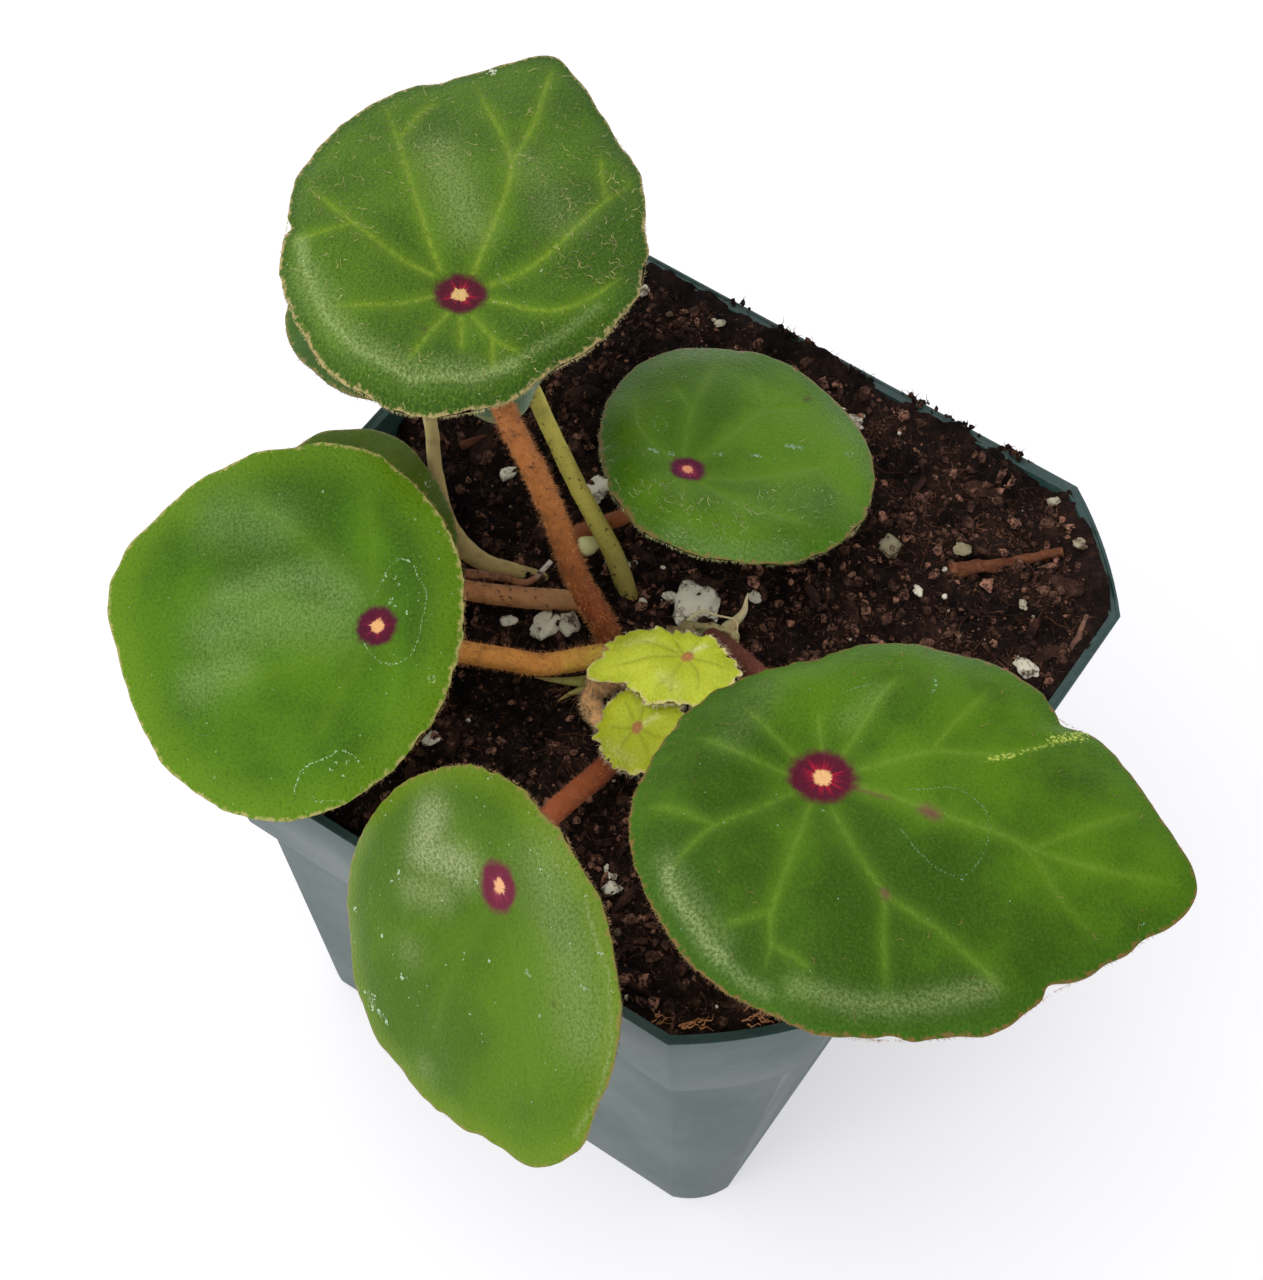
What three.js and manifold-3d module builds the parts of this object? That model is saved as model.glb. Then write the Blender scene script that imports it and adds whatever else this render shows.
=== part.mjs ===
// A young begonia with shield-shaped leaves, in the square nursery pot that it grows in.
// Millimetres, +Z up. The origin is the centre of the pot's underside, and the pot's flat sides face X and Y.

import * as THREE from "three";
import { mergeVertices } from "three/addons/utils/BufferGeometryUtils.js";
import Module from "manifold-3d";

// Pot: an octagon in plan, with a collar round the top and a tapered body stepped in under it
const POT_HEIGHT = 85.3;
const RIM_HALF = 50;
const RIM_FLAT_HALF = 35;
const COLLAR_HEIGHT = 22.5;
const COLLAR_FOOT_HALF = 46.3;
const COLLAR_FOOT_FLAT_HALF = 33.8;
const COLLAR_STEP = 2.2;
const BASE_HALF = 36.5;
const BASE_FLAT_HALF = 30.6;
const CORNER_BOW = 0.9;
const CORNER_STEPS = 3;
const WALL = 1.4;
const FLOOR = 1.6;
const CORNER_DRAIN_RADIUS = 4.5;
const CORNER_DRAIN_OFFSET = 29.7;
const SIDE_DRAIN_RADIUS = 3;
const SIDE_DRAIN_OFFSET = 26;

// Gap kept between neighbouring pieces
const GAP = 0.3;

// Potting mix: its level in the middle, how far it is banked up at three walls, a hollow in its back right
// corner, and the relief of its lumps
const MIX_LEVEL = 79.8;
const MIX_BACK_RISE = 5.2;
const MIX_RIGHT_RISE = 2.4;
const MIX_LEFT_RISE = 0.8;
const MIX_HOLLOW = { x: 31, y: 46, radius: 5.5, depth: 2.4 };
const MIX_LUMP = 0.75;
const MIX_CELLS = 20;
const MIX_SEED = 7;
const MIX_CLEARANCE = 0.5;
const MIX_TOP = 89;
const MIX_FOOT = -3000;

// Scatter on the mix: chips of bark, and small grains of perlite, over a square cut at its corners
const SCATTER_SPAN = 1.7 * RIM_HALF;
const SCATTER_CORNER = 1.45 * RIM_HALF;
const CHIP_COUNT = 18;
const CHIP_SIZE = [4.6, 1.7, 1.2];
const CHIP_SEED = 300;
const SMALL_GRAINS = 10;
const SMALL_GRAIN_RADIUS = 1.2;
const SMALL_GRAIN_SEED = 200;

// Larger grains of perlite that stand out of the mix: x, y and radius
const PERLITE = [
  [1.6, 7.3, 3.6],
  [-13.2, -7.2, 2.3],
  [-17.6, -9.1, 1.1],
  [-19.5, 14.5, 1.9],
  [-31.2, 9.8, 1.2],
  [18.4, 29.1, 1.5],
  [4.4, 43, 1.4],
  [27, 33.2, 1.3],
  [43.2, 22.1, 1.7],
  [16.4, -34.5, 1.3],
  [-15, -30, 1.2],
];

// Blades: thickness, and how far the veins sink in above and stand out below
const BLADE = 0.9;
const VEIN_SINK = 0.3;
const RIB_OUT = 0.6;
const VEIN_SPLIT = 5;

// Each leaf. eye is where the stalk meets the blade. The blade slopes down by tilt degrees towards the
// compass direction fall, and its tip points to the compass direction heading (0 is +X, 90 is +Y). Round the
// eye the blade rises by cup within about cupRadius, and its margin curls down by curlBase at the base and by
// curlTip at the tip. outline gives the margin as [degrees from the tip, radius], and veins the angle of each
// vein, where it forks and where its branches end. route is the stalk's way up to the eye.
const LEAVES = [
  {
    name: "top",
    eye: [-32.9, 3, 125],
    fall: 111,
    tilt: 6,
    heading: 110,
    cup: 2.2,
    cupRadius: 9,
    curlBase: 4,
    curlTip: 1.5,
    outline: [
      [0, 45.1], [7, 43], [15, 40.2], [30, 37], [48, 32.2], [60, 29.7], [76, 25.1], [90, 23.3],
      [104, 21.6], [125, 19.9], [155, 19.4], [188, 18.9], [210, 17.5], [228, 16.3], [249, 16.6],
      [270, 19.2], [300, 23.9], [316, 26.9], [330, 31.7], [346, 37.1], [355, 42],
    ],
    veins: [
      { at: 3, fork: 0.49, to: [0, 13] },
      { at: 34 },
      { at: 65 },
      { at: 119 },
      { at: 171 },
      { at: 218 },
      { at: 262, fork: 0.54, to: [268, 290] },
      { at: 323, fork: 0.6, to: [327, 340] },
    ],
    columns: 40,
    rings: [0.1, 0.24, 0.42, 0.6, 0.78, 0.91, 1],
    wave: 0.35,
    color: 0x3c6e26,
    stalk: {
      base: 1.75,
      top: 1.3,
      color: 0x96502d,
      route: [
        [-5, -4, 78.5], [-5.8, -3.8, 82], [-9.2, -4.6, 90], [-15, -4.3, 105.5], [-21.5, -3.7, 117.2],
        [-28, 0, 121.5],
      ],
    },
  },
  {
    name: "left",
    eye: [-20.7, -31.9, 105],
    fall: 256,
    tilt: 30,
    heading: 209,
    cup: 2.2,
    cupRadius: 9,
    curlBase: 2.5,
    curlTip: 2,
    outline: [
      [0, 36.1], [15, 34.2], [30, 32.2], [60, 26.5], [90, 18.9], [120, 14.1], [150, 11.6],
      [180, 11.3], [210, 12.8], [240, 16.1], [258, 19.2], [270, 22.1], [300, 28], [321, 33.3],
      [344, 38.3],
    ],
    veins: [
      { at: 2, fork: 0.5, to: [-6, 10] },
      { at: 42, fork: 0.6, to: [34, 50] },
      { at: 84 },
      { at: 130 },
      { at: 180 },
      { at: 232 },
      { at: 278 },
      { at: 318, fork: 0.6, to: [310, 327] },
    ],
    columns: 40,
    rings: [0.1, 0.24, 0.42, 0.6, 0.78, 0.91, 1],
    wave: 0.3,
    color: 0x50821e,
    stalk: {
      base: 1.55,
      top: 1.4,
      color: 0xa0643c,
      route: [
        [3.3, -6.6, 82.6], [-1.4, -8.8, 85.4], [-7.5, -16, 87.2], [-10.6, -18.9, 89.5], [-14.6, -23, 93],
        [-18.4, -27.6, 99],
      ],
    },
  },
  {
    name: "bottom",
    eye: [11.9, -51.9, 104],
    fall: 250,
    tilt: 52,
    heading: 317,
    cup: 2.5,
    cupRadius: 9,
    curlBase: 3,
    curlTip: 2,
    outline: [
      [0, 32.6], [11, 31.2], [17, 28.8], [30, 25.1], [60, 17.9], [90, 12.9], [120, 10.9],
      [150, 11.5], [180, 14.1], [210, 17.2], [240, 22], [253, 23.6], [270, 25.4], [300, 27.8],
      [330, 29.4], [344, 30.1], [354, 32.4],
    ],
    veins: [
      { at: 1, fork: 0.55, to: [-5, 8] },
      { at: 38 },
      { at: 84 },
      { at: 134 },
      { at: 184 },
      { at: 232, fork: 0.6, to: [226, 240] },
      { at: 280, fork: 0.6, to: [272, 288] },
      { at: 322 },
    ],
    columns: 40,
    rings: [0.1, 0.24, 0.42, 0.6, 0.78, 0.91, 1],
    wave: 0.3,
    color: 0x5a8c32,
    stalk: {
      base: 1.55,
      top: 1.4,
      color: 0x96502d,
      route: [
        [3.2, -8.6, 80.6], [6.4, -16, 81.4], [6.8, -21.9, 83.6], [7.3, -29, 88.2], [8, -35.8, 93],
        [9.4, -44, 98.3],
      ],
    },
  },
  {
    name: "right",
    eye: [38, -24.9, 117],
    fall: 164,
    tilt: 4,
    heading: 14,
    cup: 2.5,
    cupRadius: 10,
    curlBase: 5,
    curlTip: 2.5,
    outline: [
      [0, 43.5], [11, 38.4], [19, 35.4], [30, 32.1], [36, 29.2], [43, 28.2], [60, 25.6], [82, 21.8],
      [96, 19.7], [120, 17.3], [150, 18.2], [180, 19.4], [210, 22.4], [234, 24.4], [256, 27.7],
      [270, 29.3], [290, 32.5], [308, 34.4], [318, 36.6], [332, 36.9], [348, 40.5], [353, 42.4],
    ],
    veins: [
      { at: -4, fork: 0.6, to: [-15, -1] },
      { at: 28, fork: 0.6, to: [22, 32] },
      { at: 76 },
      { at: 112 },
      { at: 179 },
      { at: 230, fork: 0.61, to: [212, 233] },
      { at: 270, fork: 0.6, to: [257, 275] },
      { at: 309, fork: 0.52, to: [303, 323] },
    ],
    columns: 40,
    rings: [0.1, 0.24, 0.42, 0.6, 0.78, 0.91, 1],
    wave: 0.4,
    color: 0x3c6e26,
    stalk: {
      base: 1.5,
      top: 1.4,
      color: 0x8c3c30,
      route: [[6.8, 2.6, 82.4], [12, 0, 86.4], [17.2, -3.4, 91], [25.4, -10.8, 100], [33, -18.8, 109.5]],
    },
  },
  {
    name: "middle",
    eye: [-4.5, 12.7, 100],
    fall: 73,
    tilt: 13,
    heading: 46,
    cup: 1.4,
    cupRadius: 6,
    curlBase: 4,
    curlTip: 1.5,
    outline: [
      [0, 25.8], [24, 26.8], [42, 26.7], [60, 25.9], [90, 21.2], [120, 15.4], [150, 11.5],
      [180, 10.2], [210, 10.3], [240, 11.9], [270, 14], [300, 18.3], [330, 23],
    ],
    veins: [
      { at: -34 },
      { at: 2, fork: 0.6, to: [-5, 8] },
      { at: 34, fork: 0.6, to: [28, 41] },
      { at: 74, fork: 0.5, to: [66, 84] },
      { at: 122 },
      { at: 176 },
      { at: 232 },
      { at: 284 },
    ],
    columns: 32,
    rings: [0.12, 0.3, 0.52, 0.72, 0.88, 1],
    wave: 0.25,
    color: 0x325f2d,
    stalk: {
      base: 1.15,
      top: 1,
      color: 0x8c5032,
      route: [[-19.6, 5.4, 79.4], [-16.9, 6.8, 82.3], [-14.2, 8, 85], [-11, 9.5, 88.4], [-6.6, 11.9, 95.5]],
    },
  },
  {
    name: "left_back",
    eye: [-33.2, -17.1, 91.5],
    fall: 180,
    tilt: 5,
    heading: 202,
    cup: 1.2,
    cupRadius: 5,
    curlBase: 1.5,
    curlTip: 1,
    outline: [
      [0, 15], [25, 13.2], [60, 12.7], [100, 12.7], [140, 11.6], [180, 10.8], [200, 11.1],
      [220, 11.7], [240, 13.3], [260, 16.2], [280, 20.6], [300, 22.3], [320, 21.3], [340, 17.5],
    ],
    veins: [
      { at: 0 }, { at: 45 }, { at: 90 }, { at: 140 }, { at: 190 }, { at: 240 }, { at: 285 }, { at: 325 },
    ],
    columns: 28,
    rings: [0.14, 0.36, 0.6, 0.82, 1],
    wave: 0.2,
    color: 0x465f23,
    stalk: {
      base: 1.5,
      top: 1.3,
      color: 0x78503c,
      route: [
        [-10.2, -0.8, 80.4], [-13.8, -3.8, 81.6], [-17.5, -6.7, 82.6], [-23.3, -10.7, 84.2],
        [-29, -14.2, 86.6],
      ],
    },
  },
  {
    name: "top_back",
    eye: [-43.8, 4.7, 112],
    fall: 190,
    tilt: 8,
    heading: 221,
    cup: 1.2,
    cupRadius: 5,
    curlBase: 1.5,
    curlTip: 1,
    outline: [
      [0, 15.1], [40, 14.2], [63, 14.8], [80, 14.7], [100, 13.8], [120, 11.3], [150, 9], [200, 8.5],
      [240, 10.3], [280, 12.9], [300, 14], [330, 14.9],
    ],
    veins: [{ at: 0 }, { at: 50 }, { at: 105 }, { at: 160 }, { at: 210 }, { at: 260 }, { at: 312 }],
    columns: 26,
    rings: [0.16, 0.4, 0.7, 1],
    wave: 0.25,
    color: 0x3c5a28,
    stalk: {
      base: 0.85,
      middle: 1.6,
      top: 0.9,
      color: 0xaaa564,
      route: [
        [-17.8, -0.2, 78.8], [-21.1, -2.8, 81], [-24.6, -4.9, 82.6], [-30.6, -4.2, 83.8], [-36.2, 0.4, 86.6],
        [-38.4, 2.6, 94], [-40.8, 3.6, 104],
      ],
    },
  },
  {
    name: "top_under",
    eye: [-32.2, 12.2, 106],
    fall: 100,
    tilt: 12,
    heading: 67,
    cup: 0.7,
    cupRadius: 3.5,
    curlBase: 1.5,
    curlTip: 1,
    outline: [
      [0, 6.2], [20, 7.7], [50, 9.9], [80, 9.5], [120, 7.6], [150, 7.6], [180, 8.7], [205, 11.4],
      [222, 13.7], [240, 13.8], [260, 8.6], [285, 6.3], [330, 5.5],
    ],
    veins: [{ at: 0 }, { at: 60 }, { at: 120 }, { at: 180 }, { at: 240 }, { at: 300 }],
    columns: 24,
    rings: [0.2, 0.5, 0.8, 1],
    wave: 0.15,
    color: 0x6e8c6e,
    stalk: {
      base: 1.4,
      top: 1.05,
      color: 0xa09b50,
      route: [[-6.5, 3.4, 78.6], [-10.2, 5, 84], [-17.6, 6.9, 92], [-24, 8.9, 99], [-29.4, 11.4, 102.5]],
    },
  },
  {
    name: "young_upper",
    eye: [9.6, -8.2, 94.8],
    fall: 200,
    tilt: 16,
    heading: 216,
    cup: 0.6,
    cupRadius: 3.5,
    curlBase: 1.2,
    curlTip: 1.4,
    outline: [
      [0, 13.4], [12, 8.9], [40, 7.8], [80, 6.6], [100, 7.5], [125, 7.4], [155, 7.2], [180, 5],
      [210, 4.4], [250, 4.2], [285, 5], [305, 6.7], [330, 11.1], [348, 11.7],
    ],
    veins: [{ at: -10 }, { at: 22 }, { at: 70 }, { at: 124 }, { at: 172 }, { at: 230 }, { at: 300 }],
    columns: 28,
    rings: [0.2, 0.5, 0.8, 1],
    wave: 0.35,
    color: 0xa8bc28,
    stalk: {
      base: 1,
      top: 0.85,
      color: 0xa08c46,
      route: [[4.6, -3.4, 82.6], [6.6, -4.6, 86.6]],
    },
  },
  {
    name: "young_lower",
    eye: [8.6, -17.8, 89.6],
    fall: 235,
    tilt: 26,
    heading: 276,
    cup: 0.5,
    cupRadius: 3,
    curlBase: 1,
    curlTip: 1,
    outline: [
      [0, 5.8], [40, 6.2], [80, 5.7], [120, 6.3], [150, 5.8], [180, 4.6], [210, 5.3], [240, 6.1],
      [270, 5.8], [300, 5.9], [335, 5.7],
    ],
    veins: [{ at: 0 }, { at: 50 }, { at: 100 }, { at: 150 }, { at: 200 }, { at: 250 }, { at: 305 }],
    columns: 26,
    rings: [0.25, 0.6, 1],
    wave: 0.25,
    color: 0xa8bc28,
    stalk: {
      base: 1.3,
      top: 0.9,
      color: 0xc07d3c,
      route: [
        [0.6, -8.4, 81.4], [-1.3, -11.6, 82], [-0.8, -14.4, 82.8], [1.6, -16.4, 83.6], [5, -17.2, 85],
      ],
    },
  },
];
const MARGIN_WAVES = 9;
const STALK_SIDES = 8;
const STALK_STEP = 3.6;
const STALK_COLLAR = 1.6;
const STALK_KNEE = 0.4;

// Rhizome: the creeping stem that all the stalks grow from, ringed by leaf scars, with its stipules as
// [foot, tip, radius]
const RHIZOME_RADIUS = 2.4;
const RHIZOME_END = 0.45;
const SCAR_COUNT = 7;
const SCAR_DEPTH = 0.09;
const RHIZOME_ROUTE = [[-4.5, -9.2, 79.4], [-1, -8, 80.4], [3, -6.2, 81], [4.4, -1, 80.8], [8.4, 5.6, 80]];
const STIPULES = [
  [[7, 4.6, 81.2], [9, 8.6, 88.2], 0.95],
  [[1, -8.6, 80.6], [-6.6, -13.4, 83.2], 1],
  [[2, -8.8, 80.6], [-3.6, -15, 82.6], 1],
];

// Loose pieces that lie on the mix
const STICK_ROUTE = [[27.1, 29.9, 82.6], [32.4, 34, 83.6], [38.5, 39.9, 84.9]];
const STICK_RADIUS = 1.1;
const DRY_STIPULE_ROUTE = [[-23.8, -10.2, 87.2], [-20.1, -7.5, 86.2], [-16.9, -5.4, 85.2], [-15.7, -2, 87]];
const DRY_STIPULE_RADIUS = 0.45;

const DEG = Math.PI / 180;

const wasm = await Module();
wasm.setup();

// A random number from 0 to 1 that follows from its two integers.
function draw(seed, index) {
  const wide = Math.sin(seed * 127.1 + index * 311.7) * 43758.5453;
  return wide - Math.floor(wide);
}

// A closed geometry as a solid that can be joined and cut.
function toSolid(geometry) {
  const bare = geometry.index ? geometry.toNonIndexed() : geometry.clone();
  bare.deleteAttribute("normal");
  bare.deleteAttribute("uv");
  const merged = mergeVertices(bare, 1e-4);
  return new wasm.Manifold(
    new wasm.Mesh({
      numProp: 3,
      vertProperties: merged.attributes.position.array,
      triVerts: new Uint32Array(merged.index.array),
    }),
  );
}

// The solid as a geometry again.
function toGeometry(solid) {
  const mesh = solid.getMesh();
  return new THREE.BufferGeometry()
    .setAttribute("position", new THREE.BufferAttribute(mesh.vertProperties, 3))
    .setIndex(new THREE.BufferAttribute(mesh.triVerts, 1));
}

// The largest body of a solid, without scraps that a cut left loose.
function mainBody(solid) {
  return solid.decompose().reduce((a, b) => (a.volume() > b.volume() ? a : b));
}

// A geometry from lists of points and of triangles.
function geometryFrom(positions, triangles) {
  return new THREE.BufferGeometry()
    .setAttribute("position", new THREE.Float32BufferAttribute(positions.flat(), 3))
    .setIndex(triangles.flat());
}

// Joins rings of equally many points, in order, and closes the first and the last one with a flat face.
function loft(rings) {
  const count = rings[0].length;
  const positions = rings.flat();
  const triangles = [];
  for (let ring = 0; ring + 1 < rings.length; ring++) {
    for (let k = 0; k < count; k++) {
      const a = ring * count + k;
      const b = ring * count + ((k + 1) % count);
      triangles.push([a, b, b + count], [a, b + count, a + count]);
    }
  }
  for (const [ring, flip] of [[0, true], [rings.length - 1, false]]) {
    const centre = positions.length;
    positions.push([0, 0, rings[ring][0][2]]);
    for (let k = 0; k < count; k++) {
      const a = ring * count + k;
      const b = ring * count + ((k + 1) % count);
      triangles.push(flip ? [centre, b, a] : [centre, a, b]);
    }
  }
  return geometryFrom(positions, triangles);
}

// One level of the pot: flat sides joined by slightly bowed corner faces, drawn in by inset.
function potRing(half, flatHalf, z, inset = 0) {
  const a = half - inset;
  const b = flatHalf - inset * Math.tan(22.5 * DEG);
  const ring = [];
  for (let corner = 0; corner < 4; corner++) {
    const turn = corner * 90 * DEG;
    for (let k = 0; k <= CORNER_STEPS; k++) {
      const t = k / CORNER_STEPS;
      const bow = (4 * CORNER_BOW * t * (1 - t)) / Math.SQRT2;
      const x = a + (b - a) * t + bow;
      const y = b + (a - b) * t + bow;
      ring.push([x * Math.cos(turn) - y * Math.sin(turn), x * Math.sin(turn) + y * Math.cos(turn), z]);
    }
  }
  return ring;
}

const COLLAR_FOOT = POT_HEIGHT - COLLAR_HEIGHT;
const BODY_TOP_HALF = COLLAR_FOOT_HALF - COLLAR_STEP;
const BODY_TOP_FLAT_HALF = COLLAR_FOOT_FLAT_HALF - COLLAR_STEP * Math.tan(22.5 * DEG);

// The pot's inside from the rim down to the floor, drawn in by clearance.
function potInside(clearance, top) {
  const inset = WALL + clearance;
  const rimGrowth = ((RIM_HALF - COLLAR_FOOT_HALF) * (top - POT_HEIGHT)) / COLLAR_HEIGHT;
  return [
    potRing(RIM_HALF + rimGrowth, RIM_FLAT_HALF, top, inset),
    potRing(COLLAR_FOOT_HALF, COLLAR_FOOT_FLAT_HALF, COLLAR_FOOT + WALL + clearance, inset),
    potRing(BODY_TOP_HALF, BODY_TOP_FLAT_HALF, COLLAR_FOOT + WALL + clearance, inset),
    potRing(BASE_HALF, BASE_FLAT_HALF, FLOOR + clearance, inset),
  ];
}

// A plug through the floor, at a distance from the middle in the direction turn.
function drainSolid(radius, offset, turn) {
  const drain = new THREE.CylinderGeometry(radius, radius, 3 * FLOOR, 12);
  drain.rotateX(Math.PI / 2);
  drain.translate(offset * Math.cos(turn * DEG), offset * Math.sin(turn * DEG), FLOOR / 2);
  return toSolid(drain);
}

// The pot, with round drain holes near the corners of its floor and at the middle of each side.
function potGeometry() {
  const shell = loft([
    potRing(BASE_HALF, BASE_FLAT_HALF, 0),
    potRing(BODY_TOP_HALF, BODY_TOP_FLAT_HALF, COLLAR_FOOT),
    potRing(COLLAR_FOOT_HALF, COLLAR_FOOT_FLAT_HALF, COLLAR_FOOT),
    potRing(RIM_HALF, RIM_FLAT_HALF, POT_HEIGHT),
    ...potInside(0, POT_HEIGHT),
  ]);
  let pot = toSolid(shell);
  for (let side = 0; side < 4; side++) {
    pot = pot.subtract(drainSolid(CORNER_DRAIN_RADIUS, CORNER_DRAIN_OFFSET, side * 90 + 45));
    pot = pot.subtract(drainSolid(SIDE_DRAIN_RADIUS, SIDE_DRAIN_OFFSET, side * 90));
  }
  return toGeometry(pot);
}

// A tube along a smooth route through its points. radiusAt gives the radius at fraction s of the length, and
// grow makes the tube thicker and longer all round, as the cutter for a hole that it stands in.
function tube(route, radiusAt, sides, stepLength, grow = 0) {
  const points = route.map((p) => new THREE.Vector3(...p));
  const curve = new THREE.CatmullRomCurve3(points, false, "centripetal");
  const steps = Math.max(3, Math.round(curve.getLength() / stepLength));
  const section = new THREE.Shape();
  for (let k = 0; k < sides; k++) {
    const angle = (k / sides) * 2 * Math.PI;
    section[k ? "lineTo" : "moveTo"](Math.cos(angle), Math.sin(angle));
  }
  const geometry = new THREE.ExtrudeGeometry(section, { steps, extrudePath: curve, bevelEnabled: false });
  const centres = curve.getSpacedPoints(steps);
  const position = geometry.attributes.position;
  const vertex = new THREE.Vector3();
  for (let i = 0; i < position.count; i++) {
    vertex.fromBufferAttribute(position, i);
    const nearest = centres.reduce((best, centre, k) => {
      return vertex.distanceToSquared(centre) < vertex.distanceToSquared(centres[best]) ? k : best;
    }, 0);
    vertex.sub(centres[nearest]).setLength(radiusAt(nearest / steps) + grow).add(centres[nearest]);
    if (nearest === 0) vertex.addScaledVector(curve.getTangentAt(0), -grow);
    if (nearest === steps) vertex.addScaledVector(curve.getTangentAt(1), grow);
    position.setXYZ(i, vertex.x, vertex.y, vertex.z);
  }
  return geometry;
}

// The leaf's own axes: x to the tip, z along the blade's normal.
function leafAxes(leaf) {
  const lean = leaf.tilt * DEG;
  const fall = leaf.fall * DEG;
  const heading = leaf.heading * DEG;
  const normal = new THREE.Vector3(
    Math.cos(fall) * Math.sin(lean),
    Math.sin(fall) * Math.sin(lean),
    Math.cos(lean),
  );
  const tip = new THREE.Vector3(Math.cos(heading), Math.sin(heading), 0);
  tip.z = -(tip.x * normal.x + tip.y * normal.y) / normal.z;
  tip.normalize();
  return new THREE.Matrix4().makeBasis(tip, normal.clone().cross(tip), normal);
}

// Radius of the blade's margin at an angle in degrees from the tip, on a smooth curve through the outline.
function marginRadius(outline, degrees) {
  const count = outline.length;
  const point = (k) => {
    const turns = Math.floor(k / count);
    const [angle, radius] = outline[k - turns * count];
    return [angle + 360 * turns, radius];
  };
  const angle = ((degrees % 360) + 360) % 360;
  let k = 0;
  while (k + 1 < count && outline[k + 1][0] <= angle) k++;
  const [before, from, to, after] = [point(k - 1), point(k), point(k + 1), point(k + 2)];
  const span = to[0] - from[0];
  const s = (angle - from[0]) / span;
  const slopeFrom = ((to[1] - before[1]) / (to[0] - before[0])) * span;
  const slopeTo = ((after[1] - from[1]) / (after[0] - from[0])) * span;
  return (
    (2 * s ** 3 - 3 * s ** 2 + 1) * from[1] +
    (s ** 3 - 2 * s ** 2 + s) * slopeFrom +
    (3 * s ** 2 - 2 * s ** 3) * to[1] +
    (s ** 3 - s ** 2) * slopeTo
  );
}

// Height of the blade's upper face over the eye, at fraction t of the way out to the margin.
function bladeHeight(leaf, angle, t) {
  const radius = t * marginRadius(leaf.outline, angle);
  const curl = leaf.curlBase + ((leaf.curlTip - leaf.curlBase) * (1 + Math.cos(angle * DEG))) / 2;
  const cup = leaf.cup * (1 - Math.exp(-((radius / leaf.cupRadius) ** 2)));
  return cup - curl * t ** 4 + leaf.wave * t ** 3 * Math.sin((MARGIN_WAVES * angle + leaf.heading) * DEG);
}

// The columns of the blade's mesh: one down each vein and branch, and the others spread between them.
// Each is given as its angle at fraction t of the way out, and whether it is a vein.
function bladeColumns(leaf) {
  const veins = leaf.veins.flatMap(({ at, fork = 1, to = [at] }) =>
    to.map((end, k) => {
      const start = to.length > 1 ? at + (k - 0.5) * VEIN_SPLIT : at;
      return (t) => start + (end - start) * Math.max(0, (t - fork) / (1 - fork || 1));
    }),
  );
  return veins.flatMap((vein, k) => {
    const next = k + 1 < veins.length ? veins[k + 1] : (t) => veins[0](t) + 360;
    const between = Math.max(1, Math.round(((next(1) - vein(1)) / 360) * leaf.columns));
    return Array.from({ length: between }, (_, i) => ({
      angleAt: (t) => vein(t) + ((next(t) - vein(t)) * i) / between,
      isVein: i === 0,
    }));
  });
}

// A blade in its leaf's own axes, with the same triangles on both faces and a narrow band round its margin.
function bladeGeometry(leaf) {
  const columns = bladeColumns(leaf);
  const count = columns.length;
  const positions = [];
  for (const isTop of [true, false]) {
    positions.push([0, 0, isTop ? 0 : -BLADE]);
    for (const t of leaf.rings) {
      for (const { angleAt, isVein } of columns) {
        const angle = angleAt(t);
        const radius = t * marginRadius(leaf.outline, angle);
        const fade = THREE.MathUtils.smoothstep(radius, 2, 8) * (1 - 0.7 * t);
        const sink = isVein ? VEIN_SINK * fade : 0;
        const rib = isVein ? RIB_OUT * fade : 0;
        const top = bladeHeight(leaf, angle, t) - sink;
        const z = isTop ? top : top - BLADE - rib;
        positions.push([radius * Math.cos(angle * DEG), radius * Math.sin(angle * DEG), z]);
      }
    }
  }
  const faceSize = 1 + leaf.rings.length * count;
  const upper = [];
  for (let k = 0; k < count; k++) {
    const next = (k + 1) % count;
    upper.push([0, 1 + k, 1 + next]);
    for (let ring = 0; ring + 1 < leaf.rings.length; ring++) {
      const inner = 1 + ring * count;
      const outer = inner + count;
      upper.push([inner + k, outer + k, outer + next], [inner + k, outer + next, inner + next]);
    }
  }
  const lower = upper.map(([a, b, c]) => [a + faceSize, c + faceSize, b + faceSize]);
  const margin = [];
  const rim = faceSize - count;
  for (let k = 0; k < count; k++) {
    const a = rim + k;
    const b = rim + ((k + 1) % count);
    margin.push([a, a + faceSize, b + faceSize], [a, b + faceSize, b]);
  }
  return geometryFrom(positions, [...upper, ...lower, ...margin]);
}

// A leaf's stalk, which ends square under the eye, a gap below the blade. Its middle radius is the one at
// STALK_KNEE of its length.
function stalkTube(leaf, grow = 0) {
  const { base, top, middle = (base + top) / 2, route } = leaf.stalk;
  const normal = new THREE.Vector3().setFromMatrixColumn(leafAxes(leaf), 2);
  const eye = new THREE.Vector3(...leaf.eye);
  const under = eye.clone().addScaledVector(normal, -BLADE - GAP);
  const below = under.clone().addScaledVector(normal, -STALK_COLLAR);
  const radiusAt = (s) => {
    if (s < STALK_KNEE) return base + ((middle - base) * s) / STALK_KNEE;
    return middle + ((top - middle) * (s - STALK_KNEE)) / (1 - STALK_KNEE);
  };
  const full = [...route, below.toArray(), under.toArray()];
  return tube(full, radiusAt, STALK_SIDES, STALK_STEP, grow);
}

// The rhizome alone, swollen between its leaf scars and drawn in at its ends.
function rhizomeTube(grow = 0) {
  const radiusAt = (s) => {
    const ends = Math.min(1, RHIZOME_END + 6 * Math.min(s, 1 - s));
    return RHIZOME_RADIUS * ends * (1 + SCAR_DEPTH * Math.cos(2 * Math.PI * SCAR_COUNT * s));
  };
  return tube(RHIZOME_ROUTE, radiusAt, 10, 1.5, grow);
}

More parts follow.
